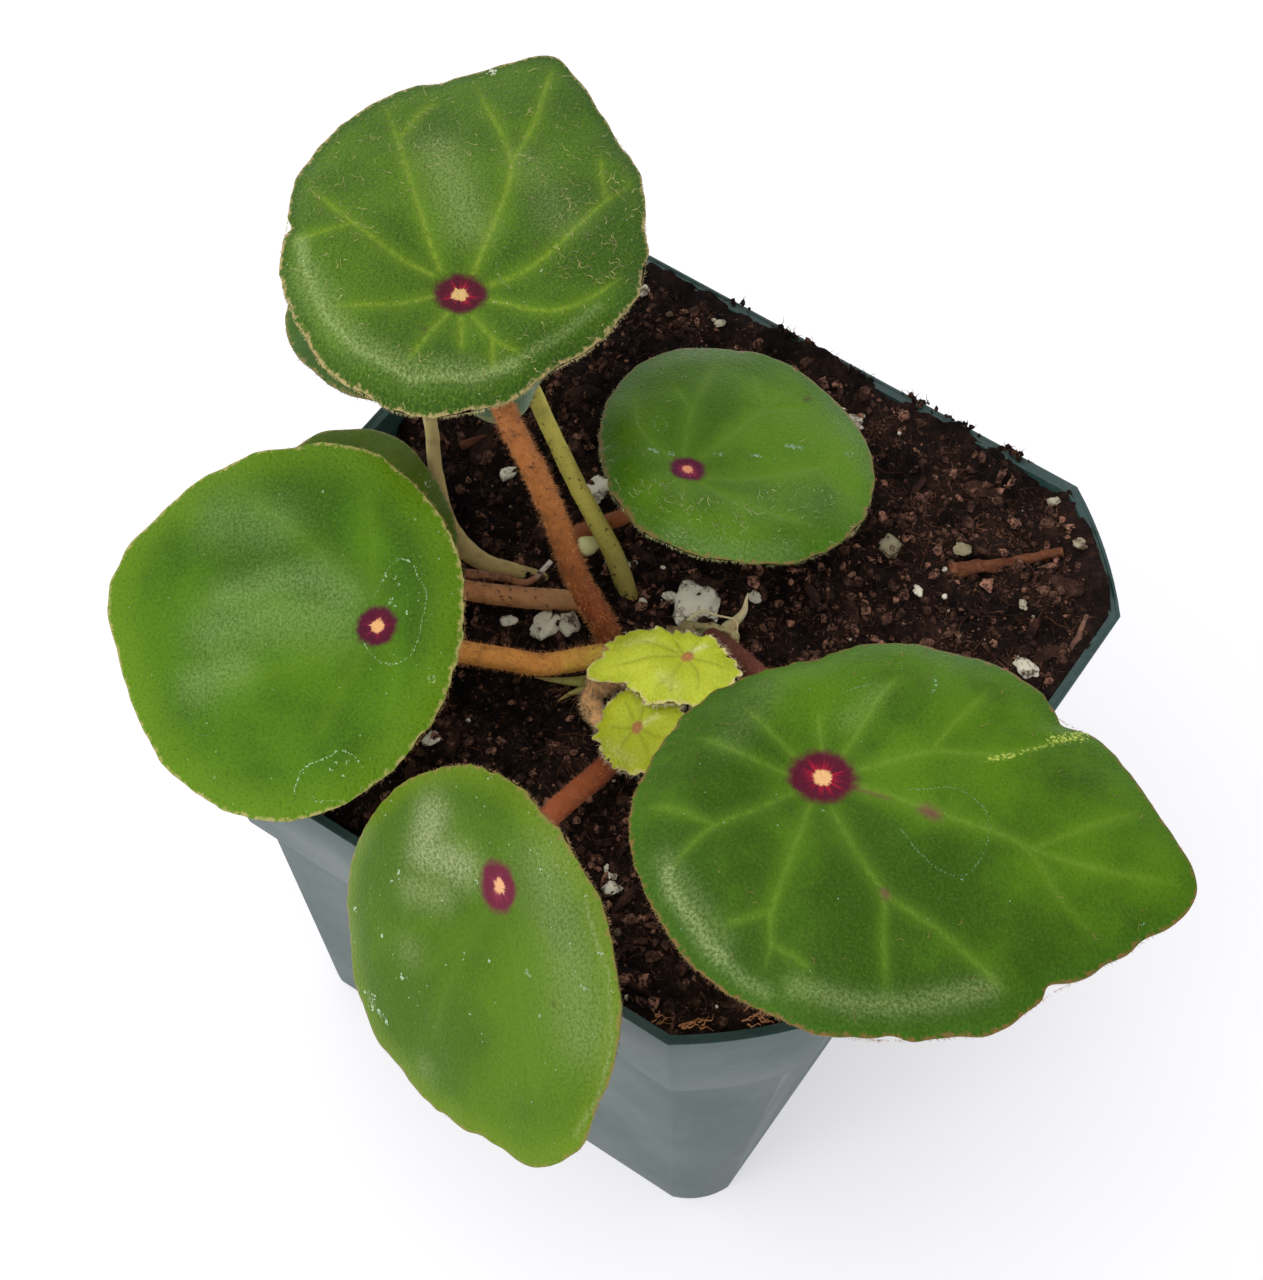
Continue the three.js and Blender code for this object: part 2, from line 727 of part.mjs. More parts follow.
// The rhizome with its pointed stipules, whose feet are sunk in it.
function rhizomeSolid(grow = 0) {
  return STIPULES.reduce((solid, [foot, tip, radius]) => {
    const middle = foot.map((v, k) => (v + tip[k]) / 2 + (k === 2 ? 0.5 : 0));
    const taper = (s) => radius * Math.max(0.12, 1 - s);
    return solid.add(toSolid(tube([foot, middle, tip], taper, 5, 2, grow)));
  }, toSolid(rhizomeTube(grow)));
}

// Level of the mix at a point. Its lumps come from four crossing waves.
function mixLevel(x, y) {
  const back = MIX_BACK_RISE * Math.max(0, y / RIM_HALF) ** 1.5;
  const right = MIX_RIGHT_RISE * Math.max(0, x / RIM_HALF) ** 2;
  const left = MIX_LEFT_RISE * Math.max(0, -x / RIM_HALF) ** 2;
  const fromHollow = Math.hypot(x - MIX_HOLLOW.x, y - MIX_HOLLOW.y) / MIX_HOLLOW.radius;
  const hollow = MIX_HOLLOW.depth * Math.exp(-(fromHollow ** 2));
  const waves = [0, 1, 2, 3].map((k) => {
    const turn = draw(MIX_SEED, k) * Math.PI;
    const length = 7 + 6 * draw(MIX_SEED, k + 10);
    const phase = draw(MIX_SEED, k + 20) * 2 * Math.PI;
    return Math.sin(((x * Math.cos(turn) + y * Math.sin(turn)) / length) * 2 * Math.PI + phase);
  });
  const lumps = (MIX_LUMP / 2) * (waves[0] * waves[1] + waves[2] * waves[3] + waves[0]);
  return MIX_LEVEL + back + right + left - hollow + lumps;
}

// A block as wide as the pot whose top is the surface of the mix. Its sides run to a point so far below the pot
// that they clear its walls.
function mixBlock() {
  const n = MIX_CELLS;
  const cell = (2 * RIM_HALF) / n;
  const positions = [];
  for (let j = 0; j <= n; j++) {
    for (let i = 0; i <= n; i++) {
      const x = -RIM_HALF + i * cell;
      const y = -RIM_HALF + j * cell;
      positions.push([x, y, mixLevel(x, y)]);
    }
  }
  const triangles = [];
  const at = (i, j) => j * (n + 1) + i;
  for (let j = 0; j < n; j++) {
    for (let i = 0; i < n; i++) {
      triangles.push([at(i, j), at(i + 1, j), at(i + 1, j + 1)], [at(i, j), at(i + 1, j + 1), at(i, j + 1)]);
    }
  }
  const foot = positions.length;
  positions.push([0, 0, MIX_FOOT]);
  for (let k = 0; k < n; k++) {
    triangles.push([foot, at(k + 1, 0), at(k, 0)], [foot, at(k, n), at(k + 1, n)]);
    triangles.push([foot, at(0, k), at(0, k + 1)], [foot, at(n, k + 1), at(n, k)]);
  }
  return geometryFrom(positions, triangles);
}

// A seeded place on the mix, drawn in towards the middle if it falls in a cut corner.
function scatterPlace(index) {
  const x = (draw(MIX_SEED, index) - 0.5) * SCATTER_SPAN;
  const y = (draw(MIX_SEED + 1, index) - 0.5) * SCATTER_SPAN;
  return Math.abs(x) + Math.abs(y) < SCATTER_CORNER ? [x, y] : [x * 0.6, y * 0.6];
}

// A grain of perlite: a squashed ball, sunk a third of its height in the mix.
function grainSolid([x, y, radius], index) {
  const ball = new THREE.IcosahedronGeometry(radius, 0);
  ball.scale(1, 0.85, 0.75);
  ball.rotateZ(draw(index, 3) * Math.PI);
  ball.translate(x, y, mixLevel(x, y) + 0.25 * radius);
  return toSolid(ball);
}

// A chip of bark: a small slab at a seeded place, size and slant, half sunk in the mix.
function chipSolid(index) {
  const [x, y] = scatterPlace(index);
  const size = CHIP_SIZE.map((side, axis) => side * (0.7 + 0.6 * draw(axis, index)));
  const chip = new THREE.BoxGeometry(...size);
  chip.rotateY((draw(3, index) - 0.5) * 0.6);
  chip.rotateX((draw(4, index) - 0.5) * 0.8);
  chip.rotateZ(draw(5, index) * Math.PI);
  chip.translate(x, y, mixLevel(x, y));
  return toSolid(chip);
}

function mixGeometry(cutters) {
  const grains = [...PERLITE];
  for (let k = 0; k < SMALL_GRAINS; k++) {
    const index = SMALL_GRAIN_SEED + k;
    grains.push([...scatterPlace(index), SMALL_GRAIN_RADIUS * (0.75 + 0.5 * draw(2, index))]);
  }
  const extras = grains.map(grainSolid);
  for (let k = 0; k < CHIP_COUNT; k++) extras.push(chipSolid(CHIP_SEED + k));
  let mix = toSolid(mixBlock());
  for (const extra of extras) mix = mix.add(extra);
  mix = mix.intersect(toSolid(loft(potInside(MIX_CLEARANCE, MIX_TOP).reverse())));
  for (const cutter of cutters) mix = mix.subtract(cutter);
  return toGeometry(mainBody(mix));
}

// The long stick of bark, thicker at its broken end.
function stickTube(grow = 0) {
  const taper = (s) => STICK_RADIUS * (1 - 0.5 * s);
  return tube(STICK_ROUTE, taper, 6, 3, grow);
}

function dryStipuleTube() {
  const taper = (s) => DRY_STIPULE_RADIUS * (1.2 - 0.6 * s);
  return tube(DRY_STIPULE_ROUTE, taper, 5, 2);
}

const plant = new THREE.Group();

function addPiece(name, geometry, color, roughness) {
  const material = new THREE.MeshStandardMaterial({ color, roughness, metalness: 0 });
  const mesh = new THREE.Mesh(geometry, material);
  mesh.name = name;
  plant.add(mesh);
  return mesh;
}

addPiece("pot", potGeometry(), 0x2c4644, 0.45);

const rhizomeCutter = rhizomeSolid(GAP);
const stalkCutters = LEAVES.map((leaf) => toSolid(stalkTube(leaf, GAP)));
addPiece("soil", mixGeometry([rhizomeCutter, toSolid(stickTube(GAP)), ...stalkCutters]), 0x281914, 0.95);
addPiece("rhizome", toGeometry(rhizomeSolid()), 0x8c8c46, 0.7);
addPiece("bark_stick", stickTube(), 0x6e3c23, 0.9);
addPiece("dry_stipule", dryStipuleTube(), 0x6e4632, 0.9);

for (const leaf of LEAVES) {
  const blade = addPiece("blade_" + leaf.name, bladeGeometry(leaf), leaf.color, 0.5);
  blade.quaternion.setFromRotationMatrix(leafAxes(leaf));
  blade.position.set(...leaf.eye);
  const stalk = toSolid(stalkTube(leaf)).subtract(rhizomeCutter);
  addPiece("stalk_" + leaf.name, toGeometry(mainBody(stalk)), leaf.stalk.color, 0.8);
}

export default plant;
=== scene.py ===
"""A young zip begonia in its square nursery pot: leaves, stalks, rhizome and potting mix."""

import math

import bmesh
import bpy
import numpy as np
from mathutils import Matrix, Vector, noise


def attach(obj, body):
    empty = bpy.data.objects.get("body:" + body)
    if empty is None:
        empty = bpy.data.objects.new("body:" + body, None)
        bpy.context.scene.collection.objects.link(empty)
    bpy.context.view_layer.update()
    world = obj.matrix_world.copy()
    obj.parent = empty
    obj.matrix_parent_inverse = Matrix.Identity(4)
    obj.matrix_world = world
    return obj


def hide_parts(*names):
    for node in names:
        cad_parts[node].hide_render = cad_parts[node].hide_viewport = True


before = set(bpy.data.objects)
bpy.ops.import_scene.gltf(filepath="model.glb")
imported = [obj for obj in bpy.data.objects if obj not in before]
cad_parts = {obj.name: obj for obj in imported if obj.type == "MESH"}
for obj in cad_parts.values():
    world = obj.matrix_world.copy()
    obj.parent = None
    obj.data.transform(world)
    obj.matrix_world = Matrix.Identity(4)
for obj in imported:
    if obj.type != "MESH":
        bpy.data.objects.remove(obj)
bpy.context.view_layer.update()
bpy.ops.object.select_all(action="DESELECT")

# Camera. It stands in front of the plant and a little to its right, looks well down on it, and is rolled by
# a few degrees. The focal length and the distance give the photograph's perspective.
MM = 0.001
PHOTO_HEIGHT = 1280
FOCAL_PIXELS = 2818.87
SENSOR = 36
NEAREST = 10 * MM
camera_azimuth = math.radians(31.81)
camera_elevation = math.radians(57.86)
camera_roll = math.radians(2.8)
camera_distance = 412.07 * MM
camera_target = Vector((-13.19, 14.99, 47.57)) * MM

camera_back = Vector((
    math.sin(camera_azimuth) * math.cos(camera_elevation),
    -math.cos(camera_azimuth) * math.cos(camera_elevation),
    math.sin(camera_elevation),
))
level_right = (-camera_back).cross(Vector((0, 0, 1))).normalized()
level_up = level_right.cross(-camera_back)
camera_right = math.cos(camera_roll) * level_right + math.sin(camera_roll) * level_up
camera_up = math.cos(camera_roll) * level_up - math.sin(camera_roll) * level_right
camera_turn = Matrix((camera_right, camera_up, camera_back)).transposed().to_4x4()
bpy.ops.object.camera_add()
camera = bpy.context.active_object
camera.matrix_world = Matrix.Translation(camera_target + camera_back * camera_distance) @ camera_turn
camera.data.sensor_width = SENSOR
camera.data.lens = FOCAL_PIXELS / PHOTO_HEIGHT * SENSOR
camera.data.clip_start = NEAREST
bpy.context.scene.camera = camera

# Studio light. A very large soft source hangs overhead, a little to the left and in front, and a small one
# stands low in front. A white room, dimmer overhead, fills the shadows. No film curve is used, so that white
# stays white.
KEY_FROM = Vector((-0.3, -0.3, 0.9)).normalized()
KEY_DISTANCE = 0.9
KEY_SIZE = 1.5
KEY_POWER = 6.9
LOW_FROM = Vector((-0.39, -0.86, 0.32)).normalized()
LOW_DISTANCE = 1.0
LOW_SIZE = 0.3
LOW_POWER = 1.4
ROOM_WHITE = (0.97, 0.98, 1.0, 1)
ROOM_STRENGTH = 1.1
CEILING_STRENGTH = 0.5
CEILING_RANGE = [0.1, 0.85]


def soft_light(name, way, distance, size, power):
    """A round area light that shines on the plant from a direction."""
    bpy.ops.object.light_add(type="AREA", location=way * distance)
    light = bpy.context.active_object
    light.name = name
    light.data.shape = "DISK"
    light.data.size = size
    light.data.energy = power
    light.rotation_euler = way.to_track_quat("Z", "Y").to_euler()


soft_light("key_light", KEY_FROM, KEY_DISTANCE, KEY_SIZE, KEY_POWER)
soft_light("low_light", LOW_FROM, LOW_DISTANCE, LOW_SIZE, LOW_POWER)
bpy.context.scene.view_settings.view_transform = "Standard"

# Floor. A wide white light table, faintly lit from below, which isn't part of the object.
FLOOR_SIZE = 3.0
FLOOR_WHITE = (208, 206, 210)
FLOOR_GLOW = 0.45
GLOW_WHITE = (1, 0.99, 1, 1)


def tone(colour):
    """A colour of 0 to 255 as the linear red, green, blue and alpha that sockets take."""
    shares = [value / 255 for value in colour]
    return (*[v / 12.92 if v <= 0.04045 else ((v + 0.055) / 1.055) ** 2.4 for v in shares], 1)


def node(tree, kind, sockets=None, **settings):
    """A node with its settings, whose named sockets get values or links from other sockets."""
    made = tree.nodes.new(kind)
    for name, value in settings.items():
        setattr(made, name, value)
    for name, value in (sockets or {}).items():
        if isinstance(value, bpy.types.NodeSocket):
            tree.links.new(value, made.inputs[name])
        else:
            made.inputs[name].default_value = value
    return made


def finish(name, roughness, specular=0.5):
    """A new material with its node tree and its main shader."""
    material = bpy.data.materials.new(name)
    material.use_nodes = True
    tree = material.node_tree
    shader = tree.nodes["Principled BSDF"]
    shader.inputs["Roughness"].default_value = roughness
    shader.inputs["Specular IOR Level"].default_value = specular
    return material, tree, shader


def span(tree, value, low, high, top=1.0, bottom=0.0):
    """The output of a node that turns low to high into bottom to top, evenly."""
    return node(tree, "ShaderNodeMapRange", {
        "Value": value, "From Min": low, "From Max": high, "To Min": bottom, "To Max": top,
    }).outputs["Result"]


room = bpy.data.worlds.new("white_room")
room.use_nodes = True
sky = room.node_tree
way = node(sky, "ShaderNodeSeparateXYZ", {"Vector": node(sky, "ShaderNodeTexCoord").outputs["Generated"]})
dimming = span(sky, way.outputs["Z"], *CEILING_RANGE, CEILING_STRENGTH, ROOM_STRENGTH)
sky.nodes["Background"].inputs["Color"].default_value = ROOM_WHITE
sky.links.new(dimming, sky.nodes["Background"].inputs["Strength"])
bpy.context.scene.world = room

bpy.ops.mesh.primitive_plane_add(size=FLOOR_SIZE)
floor = bpy.context.active_object
floor.name = "paper_floor"
paper, _, paper_shader = finish("white_paper", 0.9, 0.1)
paper_shader.inputs["Base Color"].default_value = tone(FLOOR_WHITE)
paper_shader.inputs["Emission Color"].default_value = GLOW_WHITE
paper_shader.inputs["Emission Strength"].default_value = FLOOR_GLOW
floor.data.materials.append(paper)

# Pot. A square nursery pot with cut corners, blown from thin dark green plastic. It has a deep collar under
# its rim, a tapered body stepped in below it, a foot ring and drain holes in its floor.
POT_HEIGHT = 85.3
RIM_HALF = 50
RIM_FLAT_HALF = 35
COLLAR_HEIGHT = 22.5
COLLAR_FOOT_HALF = 46.3
COLLAR_FOOT_FLAT_HALF = 33.8
COLLAR_STEP = 2.2
BASE_HALF = 36.5
BASE_FLAT_HALF = 30.6
CORNER_BOW = 0.9
CORNER_STEPS = 8
FLAT_STEPS = 6
WALL = 1.4
FLOOR = 1.6
RIM_BEAD = 0.35
RIM_GROOVE = [0.2, 0.3]
EDGE_ROUND = 0.28
SHARPEST = math.radians(32)
SMOOTHEST = math.radians(40)
FOOT_RING = [2.4, 0.7]
FOOT_DRAFT = 0.5
CORNER_DRAIN = [4.5, 29.7]
SIDE_DRAIN = [3, 26]
DRILL_LENGTH = 12
DRILL_SIDES = 32
POT_GREEN = (34, 62, 58)
POT_WORN = (84, 104, 100)
COLLAR_FOOT = POT_HEIGHT - COLLAR_HEIGHT
BODY_TOP_HALF = COLLAR_FOOT_HALF - COLLAR_STEP
CUT = math.tan(math.radians(22.5))
BODY_TOP_FLAT_HALF = COLLAR_FOOT_FLAT_HALF - COLLAR_STEP * CUT


def pot_ring(half, flat_half, z, inset=0.0):
    """One level of the pot: four flat sides joined by slightly bowed corner faces."""
    a = half - inset
    b = flat_half - inset * CUT
    side = [(a, -b + 2 * b * k / FLAT_STEPS) for k in range(FLAT_STEPS)]
    for k in range(CORNER_STEPS):
        t = k / CORNER_STEPS
        bow = 4 * CORNER_BOW * t * (1 - t) / math.sqrt(2)
        side.append((a + (b - a) * t + bow, b + (a - b) * t + bow))
    ring = []
    for turn in range(4):
        c, s = [(1, 0), (0, 1), (-1, 0), (0, -1)][turn]
        ring += [(x * c - y * s, x * s + y * c, z) for x, y in side]
    return ring


def mesh_piece(name, points, faces):
    """An object from points in millimetres and faces as rows of point numbers."""
    mesh = bpy.data.meshes.new(name)
    mesh.from_pydata((np.asarray(points, float) * MM).tolist(), [], faces)
    piece = bpy.data.objects.new(name, mesh)
    bpy.context.collection.objects.link(piece)
    bpy.ops.object.select_all(action="DESELECT")
    piece.select_set(True)
    bpy.context.view_layer.objects.active = piece
    return piece


def loft(name, rings):
    """A closed body through rings of equally many points, with a flat face at each end."""
    count = len(rings[0])
    faces = [list(range(count))[::-1]]
    for ring in range(len(rings) - 1):
        low = ring * count
        for k in range(count):
            after = (k + 1) % count
            faces.append([low + k, low + after, low + count + after, low + count + k])
    faces.append(list(range((len(rings) - 1) * count, len(rings) * count)))
    return mesh_piece(name, [point for ring in rings for point in ring], faces)


def add_modifier(piece, kind, **settings):
    """Adds a modifier with its settings and applies it."""
    bpy.context.view_layer.objects.active = piece
    modifier = piece.modifiers.new(kind.lower(), kind)
    for name, value in settings.items():
        setattr(modifier, name, value)
    bpy.ops.object.modifier_apply(modifier=modifier.name)


def dress(piece, material, replaced=()):
    """Gives a finished piece its material, its body and the nodes that it stands for."""
    piece.data.materials.append(material)
    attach(piece, "root")
    if replaced:
        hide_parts(*replaced)


def object_place(tree):
    """Places on a piece, in its own metres."""
    return node(tree, "ShaderNodeTexCoord").outputs["Object"]


def clouds(tree, place, scale, detail, roughness=0.5, seed=None):
    """The output of a fractal pattern, which a seed, a number or a socket, changes for another one."""
    sockets = {"Vector": place, "Scale": scale, "Detail": detail, "Roughness": roughness}
    if seed is None:
        return node(tree, "ShaderNodeTexNoise", sockets).outputs["Fac"]
    return node(tree, "ShaderNodeTexNoise", {**sockets, "W": seed}, noise_dimensions="4D").outputs["Fac"]


def mixed(tree, factor, first, second):
    """The output of a node that mixes two colours, each a tone or a socket."""
    return node(tree, "ShaderNodeMix", {
        "Factor": factor, "A": first, "B": second,
    }, data_type="RGBA").outputs["Result"]


def surface(tree, shader, colour, height, depth, strength):
    """Gives the main shader its colour, and a relief of a depth in millimetres."""
    bump = node(tree, "ShaderNodeBump", {"Height": height, "Distance": depth * MM, "Strength": strength})
    tree.links.new(colour, shader.inputs["Base Color"])
    tree.links.new(bump.outputs["Normal"], shader.inputs["Normal"])


foot_inset, foot_depth = FOOT_RING
groove_width, groove_depth = RIM_GROOVE
pot = loft("pot_shell", [
    pot_ring(BASE_HALF, BASE_FLAT_HALF, foot_depth, foot_inset + FOOT_DRAFT),
    pot_ring(BASE_HALF, BASE_FLAT_HALF, 0, foot_inset),
    pot_ring(BASE_HALF, BASE_FLAT_HALF, 0),
    pot_ring(BODY_TOP_HALF, BODY_TOP_FLAT_HALF, COLLAR_FOOT),
    pot_ring(COLLAR_FOOT_HALF, COLLAR_FOOT_FLAT_HALF, COLLAR_FOOT),
    pot_ring(RIM_HALF, RIM_FLAT_HALF, POT_HEIGHT),
    pot_ring(RIM_HALF, RIM_FLAT_HALF, POT_HEIGHT, RIM_BEAD),
    pot_ring(RIM_HALF, RIM_FLAT_HALF, POT_HEIGHT - groove_depth, RIM_BEAD + groove_width),
    pot_ring(RIM_HALF, RIM_FLAT_HALF, POT_HEIGHT - groove_depth, WALL),
    pot_ring(COLLAR_FOOT_HALF, COLLAR_FOOT_FLAT_HALF, COLLAR_FOOT + WALL, WALL),
    pot_ring(BODY_TOP_HALF, BODY_TOP_FLAT_HALF, COLLAR_FOOT + WALL, WALL),
    pot_ring(BASE_HALF, BASE_FLAT_HALF, FLOOR + foot_depth, WALL),
])
for turn in range(4):
    for (radius, offset), way in ((CORNER_DRAIN, turn * 90 + 45), (SIDE_DRAIN, turn * 90)):
        place = (offset * MM * math.cos(math.radians(way)), offset * MM * math.sin(math.radians(way)), 0)
        bpy.ops.mesh.primitive_cylinder_add(
            vertices=DRILL_SIDES, radius=radius * MM, depth=DRILL_LENGTH * MM, location=place,
        )
        drill = bpy.context.active_object
        add_modifier(pot, "BOOLEAN", operation="DIFFERENCE", object=drill, solver="EXACT")
        bpy.data.objects.remove(drill)
add_modifier(pot, "BEVEL", width=EDGE_ROUND * MM, segments=3, limit_method="ANGLE", angle_limit=SHARPEST)
bpy.ops.object.select_all(action="DESELECT")
pot.select_set(True)
bpy.ops.object.shade_smooth_by_angle(angle=SMOOTHEST)

plastic, tree, shader = finish("green_plastic", 0.42)
scuffs = clouds(tree, object_place(tree), 700, 6, 0.7)
polish = span(tree, clouds(tree, object_place(tree), 45, 5), 0.3, 0.7, 0.52, 0.36)
tree.links.new(polish, shader.inputs["Roughness"])
colour = mixed(tree, span(tree, scuffs, 0.5, 0.75, 0.35), tone(POT_GREEN), tone(POT_WORN))
surface(tree, shader, colour, scuffs, 0.06, 0.5)
dress(pot, plastic, ["pot"])

# Potting mix. Loose dark peat that fills the pot to its rim at the back, with clods and crumbs, chips of
# composted bark, root fibres and grains of white perlite. All of it only lies in the pot.
MIX_LEVEL = 79.8
MIX_BACK_RISE = 5.5
MIX_RIGHT_RISE = 2.4
MIX_LEFT_RISE = 0.8
MIX_HOLLOW = {"x": 31, "y": 46, "radius": 5.5, "depth": 2.4}
MIX_HEAP = {"x": -5.5, "width": 8, "from_y": 41, "rise": 0.07}
MIX_LUMP = 0.75
MIX_LUMP_LENGTHS = [7, 13]
MIX_SEED = 7
MIX_CELLS = 200
MIX_INSET = 1.1
MIX_CLEAR = 0.7
WALL_CLEAR = 0.4
SHELF_GAP = 0.6
STEP_GAP = 1
FLOOR_GAP = 0.3
STICK_BED = [(27.1, 29.9), (38.5, 39.9)]
STICK_BED_WIDTH = 1.7
STICK_BED_DEPTH = 1.1
CLODS = {"per_mm": 0.17, "height": 0.7}
CRUMBS = {"per_mm": 0.5, "height": 1.1}
GRIT = {"per_mm": 1.15, "height": 0.65}
PEAT_DARK = (15, 9, 8)
PEAT_BROWN = (78, 53, 42)
CRUMB_COUNT = 8000
CRUMB_RADII = [0.15, 0.75, 3]
CRUMB_DENTS = 0.28
FUZZ_COUNT = 10000
FUZZ_LENGTHS = [0.5, 1.9, 2]
FUZZ_RADIUS = 0.085
FIBRE_COUNT = 620
FIBRE_LENGTHS = [2, 5, 2]
FIBRE_RADIUS = 0.1
BARK_COUNT = 110
BARK_LENGTHS = [1.1, 2.2, 2]
SPILT = [(-19.6, 49.9, 0.8, 12), (-9.5, 49.3, 2.2, 40), (-2, 48.9, 2.4, 50), (10.1, 49.8, 1.2, 18),
         (17, 49.8, 1, 14), (25.4, 49.8, 0.9, 30)]
SPILT_RADII = [0.16, 0.5]


def draw(seed, index):
    """A number from 0 to 1 that follows from its two integers."""
    wide = math.sin(seed * 127.1 + index * 311.7) * 43758.5453
    return wide - math.floor(wide)


def mix_level(x, y):
    """Level of the mix, banked up at three walls, with a hollow in its back right corner."""
    level = MIX_LEVEL + MIX_BACK_RISE * np.maximum(0, y / RIM_HALF) ** 1.5
    level = level + MIX_RIGHT_RISE * np.maximum(0, x / RIM_HALF) ** 2
    level = level + MIX_LEFT_RISE * np.maximum(0, -x / RIM_HALF) ** 2
    shortest, longest = MIX_LUMP_LENGTHS
    waves = []
    for k in range(4):
        turn = draw(MIX_SEED, k) * math.pi
        length = shortest + (longest - shortest) * draw(MIX_SEED, k + 10)
        phase = draw(MIX_SEED, k + 20) * 2 * math.pi
        waves.append(np.sin((x * math.cos(turn) + y * math.sin(turn)) / length * 2 * math.pi + phase))
    lumps = MIX_LUMP / 2 * (waves[0] * waves[1] + waves[2] * waves[3] + waves[0])
    from_heap = (x - MIX_HEAP["x"]) / MIX_HEAP["width"]
    heap = MIX_HEAP["rise"] * np.maximum(0, y - MIX_HEAP["from_y"]) * np.exp(-from_heap ** 2)
    from_hollow = np.hypot(x - MIX_HOLLOW["x"], y - MIX_HOLLOW["y"]) / MIX_HOLLOW["radius"]
    hollow = MIX_HOLLOW["depth"] * np.exp(-from_hollow ** 2)
    foot, tip = np.array(STICK_BED)
    bed = tip - foot
    along = np.clip(((x - foot[0]) * bed[0] + (y - foot[1]) * bed[1]) / sum(bed ** 2), 0, 1)
    from_stick = np.hypot(x - foot[0] - along * bed[0], y - foot[1] - along * bed[1]) / STICK_BED_WIDTH
    return level + heap - hollow + lumps - STICK_BED_DEPTH * np.exp(-from_stick ** 2)


def crumb_relief(x, y):
    """Height of the clods, crumbs and grit over the level of the mix at one point."""
    at = Vector((x, y, 0))
    clods = noise.fractal(at * CLODS["per_mm"], 0.9, 2.1, 4)
    crumbs = 0.55 - noise.voronoi(at * CRUMBS["per_mm"] + Vector((3, 8, 1)))[0][0]
    grit = 0.5 - noise.voronoi(at * GRIT["per_mm"])[0][0]
    return CLODS["height"] * clods + CRUMBS["height"] * crumbs + GRIT["height"] * grit


def mix_surface(x, y):
    """Top of the loose mix at arrays of places."""
    relief = [crumb_relief(a, b) for a, b in zip(x, y)]
    return mix_level(x, y) + np.array(relief)


def inside_pot(x, y, margin):
    """Whether places lie inside the pot's walls by a margin."""
    a = RIM_HALF - WALL - MIX_CLEAR
    b = RIM_FLAT_HALF - WALL * CUT - MIX_CLEAR * CUT
    return (np.maximum(abs(x), abs(y)) < a - margin) & (abs(x) + abs(y) < a + b - margin * math.sqrt(2))


def scattered_places(rng, count, margin):
    """Random places on the mix, as many as asked for."""
    x, y = rng.uniform(-RIM_HALF, RIM_HALF, (2, 3 * count))
    kept = inside_pot(x, y, margin)
    return x[kept][:count], y[kept][:count]


def mostly_small(rng, count, least, spread, power):
    """Random sizes from the least one up to a spread above it, most of them small."""
    return least + spread * rng.uniform(0, 1, count) ** power


def random_turns(rng, count, lean=math.pi):
    """Random rotation matrices that lean by up to an angle from upright."""
    spin, tip, way = rng.uniform(0, 2 * math.pi, (3, count))
    tip = rng.uniform(0, lean, count)
    turns = []
    for a, b, c in zip(spin, tip, way):
        axis = Vector((math.cos(c), math.sin(c), 0))
        turns.append(Matrix.Rotation(b, 3, axis) @ Matrix.Rotation(a, 3, "Z"))
    return np.array([[list(row) for row in turn] for turn in turns])


def ball_model(subdivisions):
    """Points and faces of a ball of radius 1, modelled once for all its copies."""
    bpy.ops.mesh.primitive_ico_sphere_add(subdivisions=subdivisions, radius=1)
    ball = bpy.context.active_object
    points = np.array([list(v.co) for v in ball.data.vertices])
    faces = np.array([list(p.vertices) for p in ball.data.polygons])
    bpy.data.objects.remove(ball)
    return points, faces


def lumps_piece(name, rng, subdivisions, centres, sizes, turns, rough):
    """One piece of many uneven lumps, each a copy of a ball with its own size, turn and dents."""
    points, faces = ball_model(subdivisions)
    count = len(centres)
    dents = 1 + rough * rng.normal(0, 1, (count, len(points), 1)).clip(-1.6, 1.6)
    shaped = points[None] * dents * np.asarray(sizes)[:, None, :]
    placed = np.einsum("nij,nkj->nki", turns, shaped) + np.asarray(centres)[:, None, :]
    rows = faces[None] + (np.arange(count) * len(points))[:, None, None]
    piece = mesh_piece(name, placed.reshape(-1, 3), rows.reshape(-1, faces.shape[1]).tolist())
    tint = piece.data.attributes.new("tint", "FLOAT", "POINT")
    tint.data.foreach_set("value", np.repeat(rng.uniform(0, 1, count), len(points)))
    return piece


def strands(rng, roots, ways, lengths, radius, bend=0.3, wiggle=0.0, steps=2):
    """Points and faces of three-sided tapered strands, each with its own bend and wiggle."""
    count = len(roots)
    ways = ways / np.linalg.norm(ways, axis=1, keepdims=True)
    side = np.cross(ways, rng.normal(0, 1, (count, 3)))
    side /= np.linalg.norm(side, axis=1, keepdims=True)
    cross = np.cross(ways, side)
    lengths = np.asarray(lengths)[:, None]
    phase = rng.uniform(0, 2 * math.pi, (count, 1))
    turns = rng.uniform(0.8, 1.6, (count, 1))
    points = []
    for k in range(steps + 1):
        s = k / steps
        swing = wiggle * np.sin(2 * math.pi * turns * s + phase) * min(1, 3 * s)
        centre = roots + lengths * (ways * s + side * bend * s * s + cross * swing)
        if k == steps:
            points.append(centre)
            continue
        for corner in range(3):
            angle = corner * 2 * math.pi / 3
            spoke = math.cos(angle) * side + math.sin(angle) * cross
            points.append(centre + radius * (1 - 0.75 * s) * spoke)
    per = 3 * steps + 1
    placed = np.stack(points, 1).reshape(-1, 3)
    one = [[0, 2, 1]]
    for k in range(steps - 1):
        low = 3 * k
        for c in range(3):
            d = (c + 1) % 3
            one += [[low + c, low + d, low + 3 + d], [low + c, low + 3 + d, low + 3 + c]]
    last = 3 * (steps - 1)
    one += [[last, last + 1, per - 1], [last + 1, last + 2, per - 1], [last + 2, last, per - 1]]
    rows = np.array(one)[None] + (np.arange(count) * per)[:, None, None]
    return placed, rows.reshape(-1, 3)


